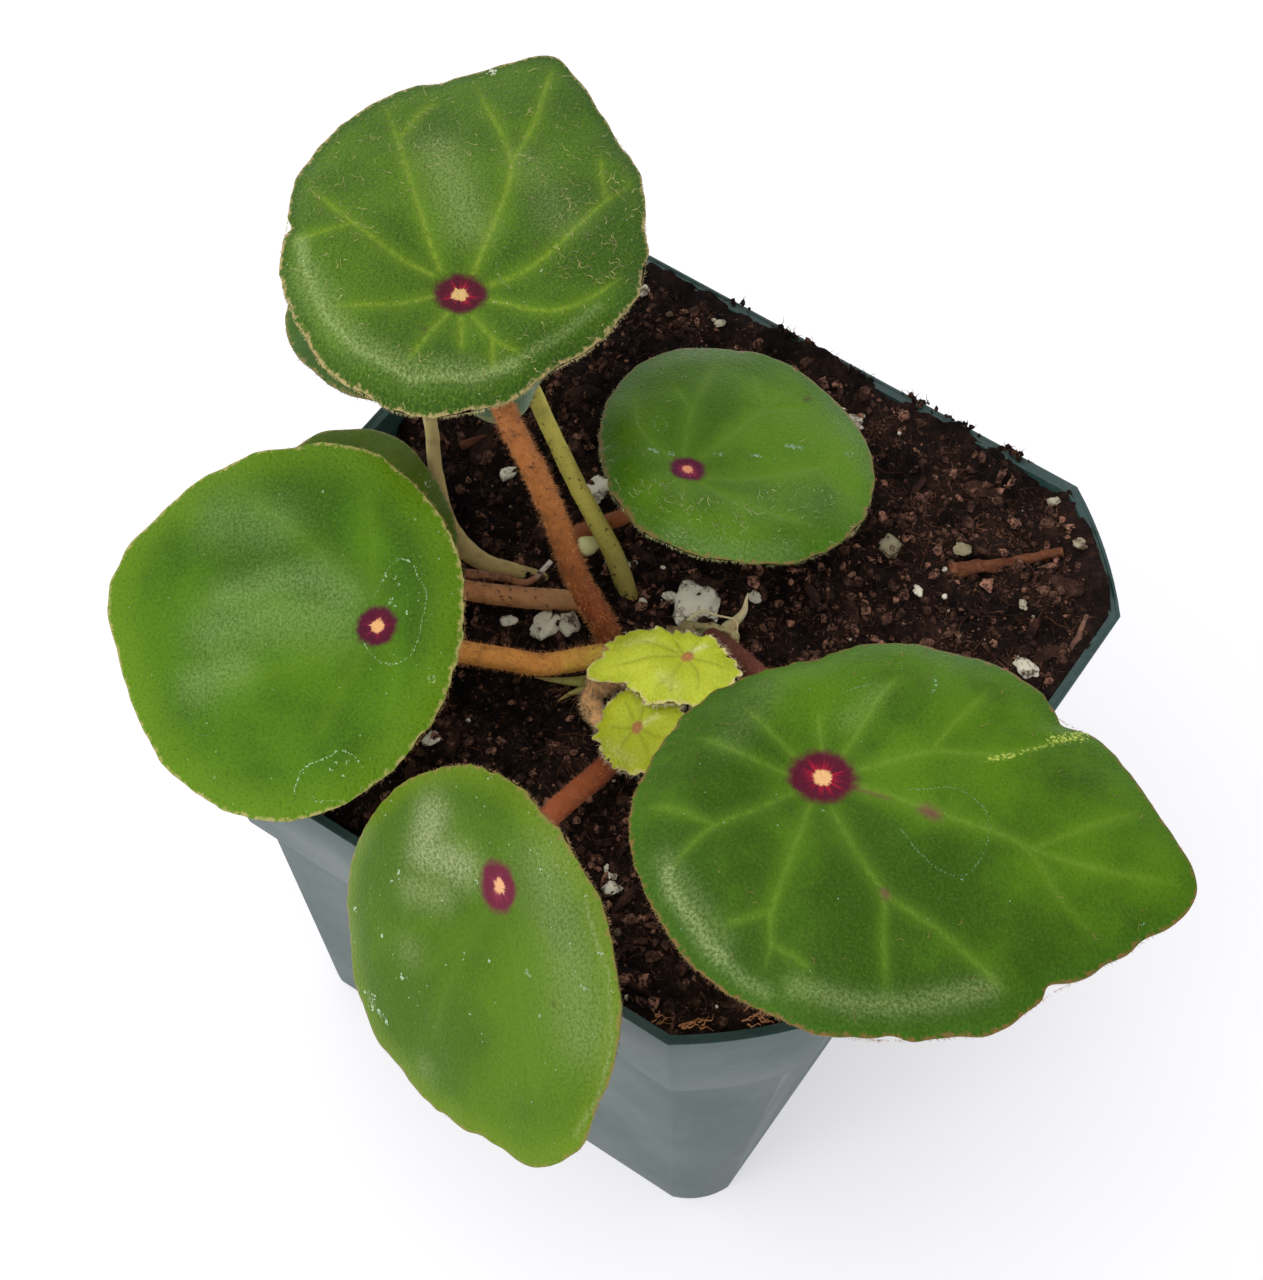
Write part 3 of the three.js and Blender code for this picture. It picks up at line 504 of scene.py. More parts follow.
def strands_piece(name, parts):
    """One piece of several lots of strands."""
    points, faces, start = [], [], 0
    for placed, rows in parts:
        points.append(placed)
        faces.append(rows + start)
        start += len(placed)
    return mesh_piece(name, np.concatenate(points), np.concatenate(faces).tolist())


def smoothed(piece):
    """Shades all faces of a piece smoothly."""
    for face in piece.data.polygons:
        face.use_smooth = True


def attribute(tree, name):
    """The output of a node that reads an attribute of the mesh."""
    return node(tree, "ShaderNodeAttribute", attribute_name=name).outputs["Fac"]


def reckon(tree, operation, *values):
    """The output of a node that reckons with values, each a number or a socket."""
    return node(tree, "ShaderNodeMath", dict(enumerate(values)), operation=operation).outputs["Value"]


def ramp(tree, value, low, high, top=1.0, bottom=0.0):
    """The output of a node that turns low to high into bottom to top, smoothly."""
    return node(tree, "ShaderNodeMapRange", {
        "Value": value, "From Min": low, "From Max": high, "To Min": bottom, "To Max": top,
    }, interpolation_type="SMOOTHSTEP").outputs["Result"]


def peat(name, dark, light, grain_scale, tinted=False):
    """A crumbly matt material whose colour wanders between two tones, lighter towards the right."""
    material, tree, shader = finish(name, 0.95, 0.12)
    place = object_place(tree)
    coarse = clouds(tree, place, 170, 7, 0.72)
    fine = clouds(tree, place, grain_scale, 6, 0.75)
    across = node(tree, "ShaderNodeSeparateXYZ", {"Vector": place}).outputs["X"]
    right = span(tree, across, -20 * MM, 45 * MM, 0.08)
    share = span(tree, reckon(tree, "ADD", coarse, right), 0.44, 0.74)
    factor = reckon(tree, "MULTIPLY", share, span(tree, fine, 0.35, 0.75))
    if tinted:
        paler = reckon(tree, "MULTIPLY", attribute(tree, "tint"), ramp(tree, fine, 0.3, 0.6))
        ruddy = ramp(tree, reckon(tree, "ADD", paler, right), 0.34, 1.05)
        factor = reckon(tree, "MAXIMUM", factor, ruddy)
    surface(tree, shader, mixed(tree, factor, tone(dark), tone(light)), fine, 0.4, 0.8)
    return material


bpy.ops.mesh.primitive_grid_add(x_subdivisions=MIX_CELLS, y_subdivisions=MIX_CELLS, size=2 * RIM_HALF * MM)
mix = bpy.context.active_object
mix.name = "peat"
shape = bmesh.new()
shape.from_mesh(mix.data)
outline = np.array(pot_ring(RIM_HALF, RIM_FLAT_HALF, 0, MIX_INSET))
for k in range(len(outline)):
    start, end = outline[k], outline[(k + 1) % len(outline)]
    along = (end - start) / np.linalg.norm(end - start)
    everything = shape.verts[:] + shape.edges[:] + shape.faces[:]
    outward = (along[1], -along[0], 0)
    bmesh.ops.bisect_plane(
        shape, geom=everything, dist=1e-7, plane_co=Vector(start) * MM, plane_no=outward, clear_outer=True,
    )
for vertex in shape.verts:
    x, y = vertex.co.x / MM, vertex.co.y / MM
    drop = POT_HEIGHT - float(mix_level(x, y))
    narrow = 1 - drop * (RIM_HALF - COLLAR_FOOT_HALF) / COLLAR_HEIGHT / RIM_HALF
    x, y = x * narrow, y * narrow
    vertex.co = Vector((x, y, float(mix_level(x, y)) + crumb_relief(x, y))) * MM
for level, half, flat_half in (
    (COLLAR_FOOT + WALL + SHELF_GAP, COLLAR_FOOT_HALF, COLLAR_FOOT_FLAT_HALF),
    (COLLAR_FOOT - STEP_GAP, BODY_TOP_HALF, BODY_TOP_FLAT_HALF),
    (FLOOR + foot_depth + FLOOR_GAP, BASE_HALF, BASE_FLAT_HALF),
):
    a, b = (half - WALL - WALL_CLEAR) * MM, (flat_half - WALL) * MM
    rim = [edge for edge in shape.edges if edge.is_boundary]
    made = bmesh.ops.extrude_edge_only(shape, edges=rim)["geom"]
    for vertex in [item for item in made if isinstance(item, bmesh.types.BMVert)]:
        x, y = vertex.co.x, vertex.co.y
        size = max(abs(x) / a, abs(y) / a, (abs(x) + abs(y)) / (a + b))
        vertex.co = Vector((x / size, y / size, level * MM))
bmesh.ops.holes_fill(shape, edges=[edge for edge in shape.edges if edge.is_boundary])
bmesh.ops.recalc_face_normals(shape, faces=shape.faces)
shape.to_mesh(mix.data)
shape.free()
smoothed(mix)
dress(mix, peat("peat", PEAT_DARK, PEAT_BROWN, 1300), ["soil"])

rng = np.random.default_rng(11)
x, y = scattered_places(rng, CRUMB_COUNT, 0.8)
radii = mostly_small(rng, len(x), *CRUMB_RADII)
sizes = radii[:, None] * rng.uniform(0.4, 1.45, (len(x), 3))
centres = np.stack([x, y, mix_surface(x, y) + 0.3 * radii], 1)
crumbs = lumps_piece("peat_crumbs", rng, 1, centres, sizes, random_turns(rng, len(x)), CRUMB_DENTS)
dress(crumbs, peat("peat_crumb", (20, 13, 11), (174, 124, 102), 1700, True))

x, y = scattered_places(rng, FUZZ_COUNT, 0.6)
ways = rng.normal(0, 1, (len(x), 3))
ways[:, 2] = 0.45 * abs(ways[:, 2])
roots = np.stack([x, y, mix_surface(x, y) + 0.05], 1)
lots = [strands(rng, roots, ways, mostly_small(rng, len(x), *FUZZ_LENGTHS), FUZZ_RADIUS, 0.6, 0.12, 2)]

bank = np.concatenate([rng.normal(0, 1, (count, 3)) * (spread, 0.25, 0.3) + (x, y, POT_HEIGHT + 0.1)
                       for x, y, spread, count in SPILT])
radii = rng.uniform(*SPILT_RADII, len(bank))
sizes = radii[:, None] * rng.uniform(0.5, 1.3, (len(bank), 3))
spilt = lumps_piece("spilt_crumbs", rng, 1, bank, sizes, random_turns(rng, len(bank)), CRUMB_DENTS)
dress(spilt, peat("spilt_peat", PEAT_DARK, (90, 60, 46), 1700, True))
ways = rng.normal(0, 1, (len(bank), 3)) + (0, 0, 0.6)
lots.append(strands(rng, bank, ways, rng.uniform(0.6, 1.8, len(bank)), 0.08, 0.6, 0.12, 2))
fuzz = strands_piece("peat_fuzz", lots)
dress(fuzz, peat("peat_fuzz", (26, 17, 13), (190, 136, 108), 1500))

x, y = scattered_places(rng, FIBRE_COUNT, 4)
lengths = mostly_small(rng, len(x), *FIBRE_LENGTHS)
angles = rng.uniform(0, 2 * math.pi, len(x))
ways = np.stack([np.cos(angles), np.sin(angles), rng.normal(0.04, 0.1, len(x))], 1)
roots = np.stack([x, y, mix_surface(x, y) + 0.25], 1)
fibres = strands_piece("root_fibres", [strands(rng, roots, ways, lengths, FIBRE_RADIUS, 0.25, 0.07, 6)])
dress(fibres, peat("root_fibre", (52, 30, 22), (150, 102, 74), 900))

x, y = scattered_places(rng, BARK_COUNT, 3)
lengths = mostly_small(rng, len(x), *BARK_LENGTHS)
sizes = np.stack([lengths, lengths * rng.uniform(0.25, 0.5, len(x)), 0.25 + 0.1 * lengths], 1)
centres = np.stack([x, y, mix_surface(x, y) + 0.3], 1)
bark = lumps_piece("bark_chips", rng, 2, centres, sizes, random_turns(rng, len(x), 0.5), 0.1)
dress(bark, peat("composted_bark", (34, 22, 18), (112, 76, 60), 800))

# Perlite. White blown glass grains in the mix, some rinsed clean and proud, the smallest half hidden.
PERLITE = [
    (1.7, 7.2, 3.9, 1), (-12.9, -7, 2.7, 0.6), (-17.6, -9.1, 1.2, 0.9), (-19.2, 14.4, 2.4, 0.8),
    (-31.2, 9.8, 1.4, 0.9), (18.4, 29.1, 1.7, 0.25), (4.4, 43, 1.6, 0.8), (27, 33.2, 1.2, 0.2),
    (43.2, 22.1, 2, 0.6), (16.4, -34.5, 1.3, 0.9), (-15, -30, 1.2, 0.9), (-10.4, -5.6, 1.8, 0.5),
    (15.2, -33, 1, 0.9), (7.6, 12, 1, 0.5), (-9, 7.4, 0.9, 0.8), (25.3, 24.7, 0.9, 0.7), (38.2, 30, 0.8, 0.4),
    (40, 41.7, 1, 0.3), (33.3, 47, 1, 0.4), (-31.9, 44, 1, 0.6), (-20.1, 45.6, 0.8, 0.4), (-2, 6, 1.1, 0.8),
]
PERLITE_SINK = 0.3
PERLITE_FLATNESS = 0.42
PERLITE_NARROWNESS = [0.6, 0.25]
PERLITE_WHITE = (236, 228, 206)
PERLITE_DULL = (138, 128, 96)
PERLITE_PIT = (84, 66, 48)
GRIT_COUNT = 120
GRIT_RADII = [0.16, 0.5, 3]

points, faces = ball_model(4)
shape, rows, clean = [], [], []
for k, (x, y, radius, rinsed) in enumerate(PERLITE):
    spin = 2 * math.pi * draw(61, k)
    narrow = PERLITE_NARROWNESS[0] + PERLITE_NARROWNESS[1] * draw(62, k)
    for a, b, c in points:
        at = Vector((a, b, c))
        swell = 1 + 0.42 * noise.noise(at * 1.25 + Vector((9 * k, 2, 5)))
        swell = swell + 0.2 * noise.noise(at * 3.1 + Vector((4, 7 * k, 1)))
        a, b, c = swell * a, swell * b * narrow, PERLITE_FLATNESS * swell * c
        shape.append((x + radius * (a * math.cos(spin) - b * math.sin(spin)),
                      y + radius * (a * math.sin(spin) + b * math.cos(spin)),
                      float(mix_level(x, y)) + PERLITE_SINK + radius * c))
    rows += (faces + k * len(points)).tolist()
    clean += [rinsed] * len(points)
perlite = mesh_piece("perlite", shape, rows)
perlite.data.attributes.new("tint", "FLOAT", "POINT").data.foreach_set("value", clean)

x, y = scattered_places(rng, GRIT_COUNT, 2)
radii = mostly_small(rng, len(x), *GRIT_RADII)
centres = np.stack([x, y, mix_surface(x, y) + 0.25 * radii], 1)
sizes = radii[:, None] * rng.uniform(0.5, 1.2, (len(x), 3))
grit = lumps_piece("perlite_grit", rng, 2, centres, sizes, random_turns(rng, len(x)), 0.14)

material, tree, shader = finish("perlite", 0.8, 0.3)
place = object_place(tree)
tint = attribute(tree, "tint")
pits = clouds(tree, place, 900, 6, 0.7)
both = reckon(tree, "MULTIPLY", pits, clouds(tree, place, 330, 4))
washed = reckon(tree, "MULTIPLY_ADD", tint, 0.07, both)
body = mixed(tree, ramp(tree, tint, 0.1, 0.8), tone(PERLITE_DULL), tone(PERLITE_WHITE))
colour = mixed(tree, ramp(tree, washed, 0.2, 0.29), tone(PERLITE_PIT), body)
surface(tree, shader, colour, pits, 0.4, 0.7)
for piece in (perlite, grit):
    smoothed(piece)
    dress(piece, material)

# Leaves. Each blade is a thin fleshy shield whose stalk joins it inside its outline, at the eye, where the
# veins meet. They grew as they are, so every blade is one piece, and its margin curls under a little.
BLADE = 0.9
MARGIN_BLADE = 0.5
VEIN_SINK = 0.1
RIB_OUT = 0.6
MARGIN_WAVES = 9
STALK_GAP = 0.3
STALK_COLLAR = 1.6
STALK_SIDES = 22
STALK_STEP = 0.6
STALK_UNEVEN = 0.07
EDGE_BEVEL = 0.16
BLADE_MASKS = ["vein", "glow", "rim", "frost", "stain", "fleck"]
RIB_RUSSET = (140, 78, 48)
HAIR_RADIUS = 0.035
CURLED_HAIR_RADIUS = 0.045
HAIR_SINK = 0.3
BEAD_PITCH = 0.15
# Shared settings of the leaves and their looks, among them the strokes and the colour of the painted sheen.
LEAF_SHARED = {
    "frost": [], "stains": [], "flecks": [], "notches": [], "curls": [], "lime_lines": [], "lime_specks": [],
    "stalk_at": (0, 0.4, 1),
}
LOOK_SHARED = {
    "drift": (0, 0), "mottle": 0.3, "dots": 0.16, "frost": (130, 140, 110), "fleck": (170, 180, 120),
    "stain": (60, 40, 30), "lime": (196, 206, 186), "under": (96, 124, 66), "pebble": 0.14,
}
STALK_LOOK_SHARED = {"turn": (0.2, 0.7), "speckled": (0.66, 0.8)}


def leaf_axes(leaf):
    """The leaf's own axes as rows: to its tip, to its left side, and along its normal."""
    lean, fall, heading = (math.radians(leaf[key]) for key in ("tilt", "fall", "heading"))
    normal = np.array([math.cos(fall) * math.sin(lean), math.sin(fall) * math.sin(lean), math.cos(lean)])
    tip = np.array([math.cos(heading), math.sin(heading), 0])
    tip[2] = -(tip @ normal) / normal[2]
    tip /= np.linalg.norm(tip)
    return np.array([tip, np.cross(normal, tip), normal])


def margin_radius(outline, degrees):
    """Radius of the margin at angles in degrees from the tip, on a smooth curve through the outline."""
    knots = np.array(outline, float)
    angles = np.concatenate([knots[:, 0] - 360, knots[:, 0], knots[:, 0] + 360])
    radii = np.tile(knots[:, 1], 3)
    slopes = np.zeros_like(radii)
    slopes[1:-1] = (radii[2:] - radii[:-2]) / (angles[2:] - angles[:-2])
    degrees = np.mod(degrees, 360)
    k = np.searchsorted(angles, degrees, side="right") - 1
    span = angles[k + 1] - angles[k]
    s = (degrees - angles[k]) / span
    low = (2 * s ** 3 - 3 * s ** 2 + 1) * radii[k] + (s ** 3 - 2 * s ** 2 + s) * span * slopes[k]
    return low + (3 * s ** 2 - 2 * s ** 3) * radii[k + 1] + (s ** 3 - s ** 2) * span * slopes[k + 1]


def ripple(x, y, size, seed):
    """Smooth unevenness of about a size in millimetres, between -1 and 1, from seeded crossing waves."""
    total = 0
    for k in range(7):
        turn = draw(seed, k) * 2 * math.pi
        length = size * (0.7 + 0.9 * draw(seed, k + 20))
        phase = 9 * draw(seed, k + 40)
        total = total + np.sin((x * math.cos(turn) + y * math.sin(turn)) / length * 2 * math.pi + phase)
    return total / 4


def distance_to(line, x, y):
    """Distance from places in the leaf's plane to a line through points, and how far along it they lie."""
    nearest = np.full(np.shape(x), 99.0)
    along = np.zeros(np.shape(x))
    walked = 0
    for (ax, ay), (bx, by) in zip(line[:-1], line[1:]):
        length = math.hypot(bx - ax, by - ay)
        s = np.clip(((x - ax) * (bx - ax) + (y - ay) * (by - ay)) / length ** 2, 0, 1)
        distance = np.hypot(x - ax - s * (bx - ax), y - ay - s * (by - ay))
        along = np.where(distance < nearest, walked + s * length, along)
        nearest = np.minimum(nearest, distance)
        walked += length
    return nearest, along / walked


def rounded(line):
    """A line through points with its corners cut off twice."""
    points = np.array(line, float)
    for _ in range(2):
        near, far = points[:-1], points[1:]
        cut = np.stack([0.75 * near + 0.25 * far, 0.25 * near + 0.75 * far], 1).reshape(-1, 2)
        points = np.vstack([points[:1], cut, points[-1:]])
    return points.tolist()


def spokes(outline, degrees):
    """Straight veins from the eye towards the margin at angles in degrees from the tip."""
    lines = []
    for angle in degrees:
        reach = float(margin_radius(outline, angle))
        along, across = math.cos(math.radians(angle)), math.sin(math.radians(angle))
        lines.append([(share * reach * along, share * reach * across) for share in (0.15, 0.92)])
    return lines


def vein_masks(leaf, x, y):
    """How much of a vein's core, and of the glow round it, lies at places on the blade."""
    core = np.zeros_like(x)
    glow = np.zeros_like(x)
    narrow, wide = leaf["vein_width"]
    for line in leaf.get("veins") or spokes(leaf["outline"], leaf["spokes"]):
        distance, along = distance_to(rounded(line), x, y)
        first = math.hypot(*line[0]) / max(1, math.hypot(*line[-1]))
        thin = 1 - 0.55 * np.maximum(along, min(1, first))
        fade = np.clip((1 - along) / 0.22, 0, 1)
        core = np.maximum(core, np.exp(-(distance / (narrow * thin)) ** 2) * fade)
        glow = np.maximum(glow, np.exp(-(distance / (wide * thin)) ** 2) * fade)
    return core, glow


def stroke_mask(strokes, x, y):
    """Soft marks on the blade, such as painted sheen: strokes with a width and a strength along lines."""
    mask = np.zeros_like(x)
    for width, strength, line in strokes:
        distance = distance_to([*line, (line[-1][0] + 0.01, line[-1][1])], x, y)[0]
        mask = np.maximum(mask, strength * np.exp(-(distance / width) ** 2))
    return mask


def blade_height(leaf, x, y, t):
    """Height of the blade's upper face over the eye, and how much of a vein's core and glow lies there."""
    degrees = np.degrees(np.arctan2(y, x))
    curl = leaf["curl_base"] + (leaf["curl_tip"] - leaf["curl_base"]) * (1 + np.cos(np.radians(degrees))) / 2
    cup = leaf["cup"] * (1 - np.exp(-(x ** 2 + y ** 2) / leaf["cup_radius"] ** 2))
    waves = leaf["wave"] * t ** 3 * np.sin(np.radians(MARGIN_WAVES * degrees + leaf["heading"]))
    swells = leaf["uneven"] * (ripple(x, y, 9, 2) * np.minimum(1, t * 4) + 0.3 * ripple(x, y, 3.4, 8))
    core, glow = vein_masks(leaf, x, y)
    return cup - curl * t ** 4 + waves + swells - VEIN_SINK * core - leaf["quilt"] * glow, core, glow


def blade_points(leaf, degrees, t, lift=0.0):
    """Places on the blade's upper face, raised by lift, in millimetres."""
    radius = t * margin_radius(leaf["outline"], degrees)
    x, y = radius * np.cos(np.radians(degrees)), radius * np.sin(np.radians(degrees))
    height = blade_height(leaf, x, y, t)[0] + lift
    return np.stack([x, y, height], -1) @ leaf_axes(leaf) + np.array(leaf["eye"])


def blade_mesh(leaf):
    """The blade: a grid wrapped round the eye and out to the margin, thickened with ribs under its veins."""
    columns, rings = leaf["mesh"]
    bpy.ops.mesh.primitive_grid_add(x_subdivisions=columns, y_subdivisions=rings, size=2)
    blade = bpy.context.active_object
    blade.name = "leaf_" + leaf["name"]
    mesh = blade.data
    flat = np.empty(3 * len(mesh.vertices))
    mesh.vertices.foreach_get("co", flat)
    flat = flat.reshape(-1, 3)
    fine = np.linspace(0, 360, 2881)
    reach = margin_radius(leaf["outline"], fine)
    steps = np.hypot(np.diff(reach), np.radians(np.diff(fine)) * (reach[1:] + reach[:-1]) / 2)
    walked = np.concatenate([[0], np.cumsum(steps)])
    turned = np.round((flat[:, 0] + 1) / 2 * columns) / columns
    degrees = np.interp(turned * walked[-1], walked, fine)
    s = (flat[:, 1] + 1) / 2
    t = s ** 0.9
    reach = margin_radius(leaf["outline"], degrees)
    around, across = np.cos(np.radians(degrees)), np.sin(np.radians(degrees))
    coarse = ripple(40 * around, 40 * across, 7, 3)
    ragged = leaf["ragged"] * (coarse + 0.5 * ripple(60 * around, 60 * across, 4, 5))
    for at, width, depth in leaf["notches"]:
        ragged = ragged - depth * np.exp(-(((degrees - at + 180) % 360 - 180) / width) ** 2)
    radius = t * reach + ragged * t ** 6
    x, y = radius * around, radius * across
    height, core, glow = blade_height(leaf, x, y, t)
    points = np.stack([x, y, height], -1) @ leaf_axes(leaf) + np.array(leaf["eye"])
    mesh.vertices.foreach_set("co", (points * MM).ravel())
    flat_map = mesh.uv_layers.new(name="leaf_plane")
    corners = np.empty(len(mesh.loops), int)
    mesh.loops.foreach_get("vertex_index", corners)
    flat_map.data.foreach_set("uv", np.stack([x, y], 1)[corners].ravel())
    # Masks of the painted sheen, the stains and the flecks.
    strokes = [stroke_mask(leaf[kind], x, y) for kind in ("frost", "stains", "flecks")]
    for name, values in zip(BLADE_MASKS, [core, glow, (1 - t) * reach, *strokes]):
        mesh.attributes.new(name, "FLOAT", "POINT").data.foreach_set("value", values)
    thick = np.where(t > 0.9, BLADE + (MARGIN_BLADE - BLADE) * (t - 0.9) / 0.1, BLADE)
    share = (thick + RIB_OUT * core * (1 - 0.7 * t)) / (BLADE + RIB_OUT)
    group = blade.vertex_groups.new(name="thickness")
    for vertex, weight in enumerate(share):
        group.add([vertex], float(weight), "REPLACE")
    bpy.ops.object.mode_set(mode="EDIT")
    bpy.ops.mesh.select_all(action="SELECT")
    bpy.ops.mesh.remove_doubles(threshold=2e-6)
    bpy.ops.mesh.normals_make_consistent(inside=False)
    bpy.ops.object.mode_set(mode="OBJECT")
    up = leaf_axes(leaf)[2]
    middle = mesh.polygons[len(mesh.polygons) // 2].normal
    if middle.dot(Vector(up)) < 0:
        mesh.flip_normals()
    add_modifier(blade, "SOLIDIFY", thickness=(BLADE + RIB_OUT) * MM, offset=-1, vertex_group="thickness",
                 material_offset=1, material_offset_rim=0)
    add_modifier(blade, "BEVEL", width=EDGE_BEVEL * MM, segments=2, limit_method="ANGLE",
                 angle_limit=math.radians(60))
    smoothed(blade)
    blade.vertex_groups.clear()
    return blade


def open_group(name, given, made):
    """A shader group with its given sockets and kinds, and the single values that it makes."""
    group = bpy.data.node_groups.new(name, "ShaderNodeTree")
    for socket, kind in given:
        group.interface.new_socket(socket, in_out="INPUT", socket_type=kind)
    for socket in made:
        group.interface.new_socket(socket, in_out="OUTPUT", socket_type="NodeSocketFloat")
    return group, group.nodes.new("NodeGroupInput").outputs, group.nodes.new("NodeGroupOutput").inputs


def eye_group():
    """Masks of a leaf's eye in the plane of the blade: its disc, its crimson streaks and its pale heart."""
    group, given, made = open_group("leaf_eye", [
        ("Vector", "NodeSocketVector"), ("Size", "NodeSocketVector"), ("Seed", "NodeSocketFloat"),
    ], ["Disc", "Streaks", "Heart"])
    scaled = node(group, "ShaderNodeVectorMath", {0: given["Vector"], 1: given["Size"]}, operation="DIVIDE")
    scaled = scaled.outputs[0]
    way = node(group, "ShaderNodeVectorMath", {0: scaled}, operation="NORMALIZE").outputs[0]
    distance = node(group, "ShaderNodeVectorMath", {0: scaled}, operation="LENGTH").outputs["Value"]
    blot = clouds(group, scaled, 2.1, 5, 0.65, given["Seed"])
    fray = reckon(group, "MULTIPLY_ADD", blot, 0.62, distance)
    rays = clouds(group, way, 5.5, 3, 0.6, given["Seed"])
    lit = reckon(group, "ADD", rays, span(group, distance, 0.95, 0.25, 0.2, -0.16))
    ragged = reckon(group, "MULTIPLY_ADD", rays, -0.4, fray)
    group.links.new(ramp(group, fray, 1.5, 1.1), made["Disc"])
    group.links.new(ramp(group, lit, 0.5, 0.78), made["Streaks"])
    group.links.new(ramp(group, ragged, 0.46, 0.33), made["Heart"])
    return group


def pebble_group():
    """Height of the fine pebbles and pores of a leaf's skin, and pale dots on the tops of the pebbles."""
    group, given, made = open_group("leaf_pebbles", [("Vector", "NodeSocketVector")], ["Height", "Dots"])
    place = given["Vector"]
    cells = node(group, "ShaderNodeTexVoronoi", {
        "Vector": place, "Scale": 3.4, "Randomness": 1.0,
    }, feature="SMOOTH_F1").outputs["Distance"]
    height = reckon(group, "MULTIPLY_ADD", cells, -0.6, clouds(group, place, 1.5, 5, 0.62))
    group.links.new(height, made["Height"])
    group.links.new(span(group, clouds(group, place, 3.3, 4, 0.7), 0.5, 0.78), made["Dots"])
    return group


leaf_eye = eye_group()
leaf_pebbles = pebble_group()


def layered(tree, colour, layers):
    """A colour under layers, from the lowest up, each with how much of it covers and its own colour."""
    for share, paint in layers:
        colour = mixed(tree, share, colour, tone(paint))
    return colour


def blade_skin(leaf):
    """The upper skin of a leaf: two greens, glowing veins, its eye, painted sheen, a pale edge line and fine
    pebbles.
    """
    look = leaf["look"]
    material, tree, shader = finish("skin_" + leaf["name"], look["roughness"], look["specular"])
    place = node(tree, "ShaderNodeUVMap", uv_map="leaf_plane").outputs["UV"]
    seed = 10 * draw(leaf["heading"], 5)
    vein, glow, rim, frost, stain, fleck = (attribute(tree, name) for name in BLADE_MASKS)
    pebbles = node(tree, "ShaderNodeGroup", {"Vector": place}, node_tree=leaf_pebbles).outputs
    eye = node(tree, "ShaderNodeGroup", {
        "Vector": place, "Size": (*look["eye"], 1), "Seed": seed,
    }, node_tree=leaf_eye).outputs
    patches = clouds(tree, place, 0.07, 4, 0.6, seed)
    fine = clouds(tree, place, 1.1, 5, 0.7)
    grain = clouds(tree, place, 2.4, 4, 0.8)
    dark = tuple(0.7 * value for value in look["deep"])
    leaning = node(tree, "ShaderNodeVectorMath", {0: place, 1: (*look["drift"], 0)}, operation="DOT_PRODUCT")
    drifting = reckon(tree, "ADD", patches, leaning.outputs["Value"])
    greens = mixed(tree, ramp(tree, drifting, 0.35, 0.68), tone(look["deep"]), tone(look["light"]))
    colour = layered(tree, greens, [
        # The edge layer is each leaf's own margin tint, and on the top leaf painted shade of its margin that
        # curls under.
        (ramp(tree, rim, look["edge_reach"], 0.4, look["edge_share"]), look["edge"]),
        # Light and dark mottle: the skin's own speckle, and painted highlight for the sparkle of light on its
        # pebbles.
        (ramp(tree, grain, 0.5, 0.64, look["mottle"]), look["dot"]),
        (ramp(tree, grain, 0.5, 0.34, look["mottle"] + 0.1), dark),
        (reckon(tree, "MULTIPLY", glow, look["glow_share"]), look["glow"]),
        (reckon(tree, "MULTIPLY", vein, ramp(tree, fine, 0.3, 0.6, look["vein_share"])), look["vein"]),
        (ramp(tree, pebbles["Dots"], 0, 1, look["dots"]), look["dot"]),
        # Painted sheen: pale strokes where light glances off the skin, broken up by the grain.
        (reckon(tree, "MULTIPLY", frost, ramp(tree, grain, 0.38, 0.62, 1, 0.2)), look["frost"]),
        (ramp(tree, reckon(tree, "MULTIPLY", fleck, grain), 0.46, 0.53, 0.9), look["fleck"]),
        (stain, look["stain"]),
        (eye["Disc"], look["maroon"]),
        (reckon(tree, "MULTIPLY", eye["Disc"], eye["Streaks"]), look["crimson"]),
        (eye["Heart"], look["heart"]),
        (ramp(tree, reckon(tree, "MULTIPLY_ADD", fine, 3, rim), 2, 1.45, 0.8), look["rim"]),
    ])
    rough = ramp(tree, patches, 0.3, 0.7, look["roughness"] + 0.05, look["roughness"] - 0.05)
    tree.links.new(rough, shader.inputs["Roughness"])
    surface(tree, shader, colour, pebbles["Height"], look["pebble"], 1)
    return material


def blade_underside(leaf):
    """The lower skin of a leaf: a paler dull green with russet ribs and a russet edge."""
    look = leaf["look"]
    material, tree, shader = finish("underside_" + leaf["name"], 0.6, 0.3)
    place = node(tree, "ShaderNodeUVMap", uv_map="leaf_plane").outputs["UV"]
    vein, glow, rim = (attribute(tree, name) for name in BLADE_MASKS[:3])
    pebbles = node(tree, "ShaderNodeGroup", {"Vector": place}, node_tree=leaf_pebbles).outputs
    greens = mixed(tree, pebbles["Dots"], tone(look["under"]), tone(look["light"]))
    colour = layered(tree, greens, [
        (glow, look["glow"]),
        (ramp(tree, vein, 0.2, 0.8), RIB_RUSSET),
        (ramp(tree, rim, 0.9, 0.1, 0.8), look["rim"]),
    ])
    surface(tree, shader, colour, pebbles["Height"], 0.25, 1)
    return material


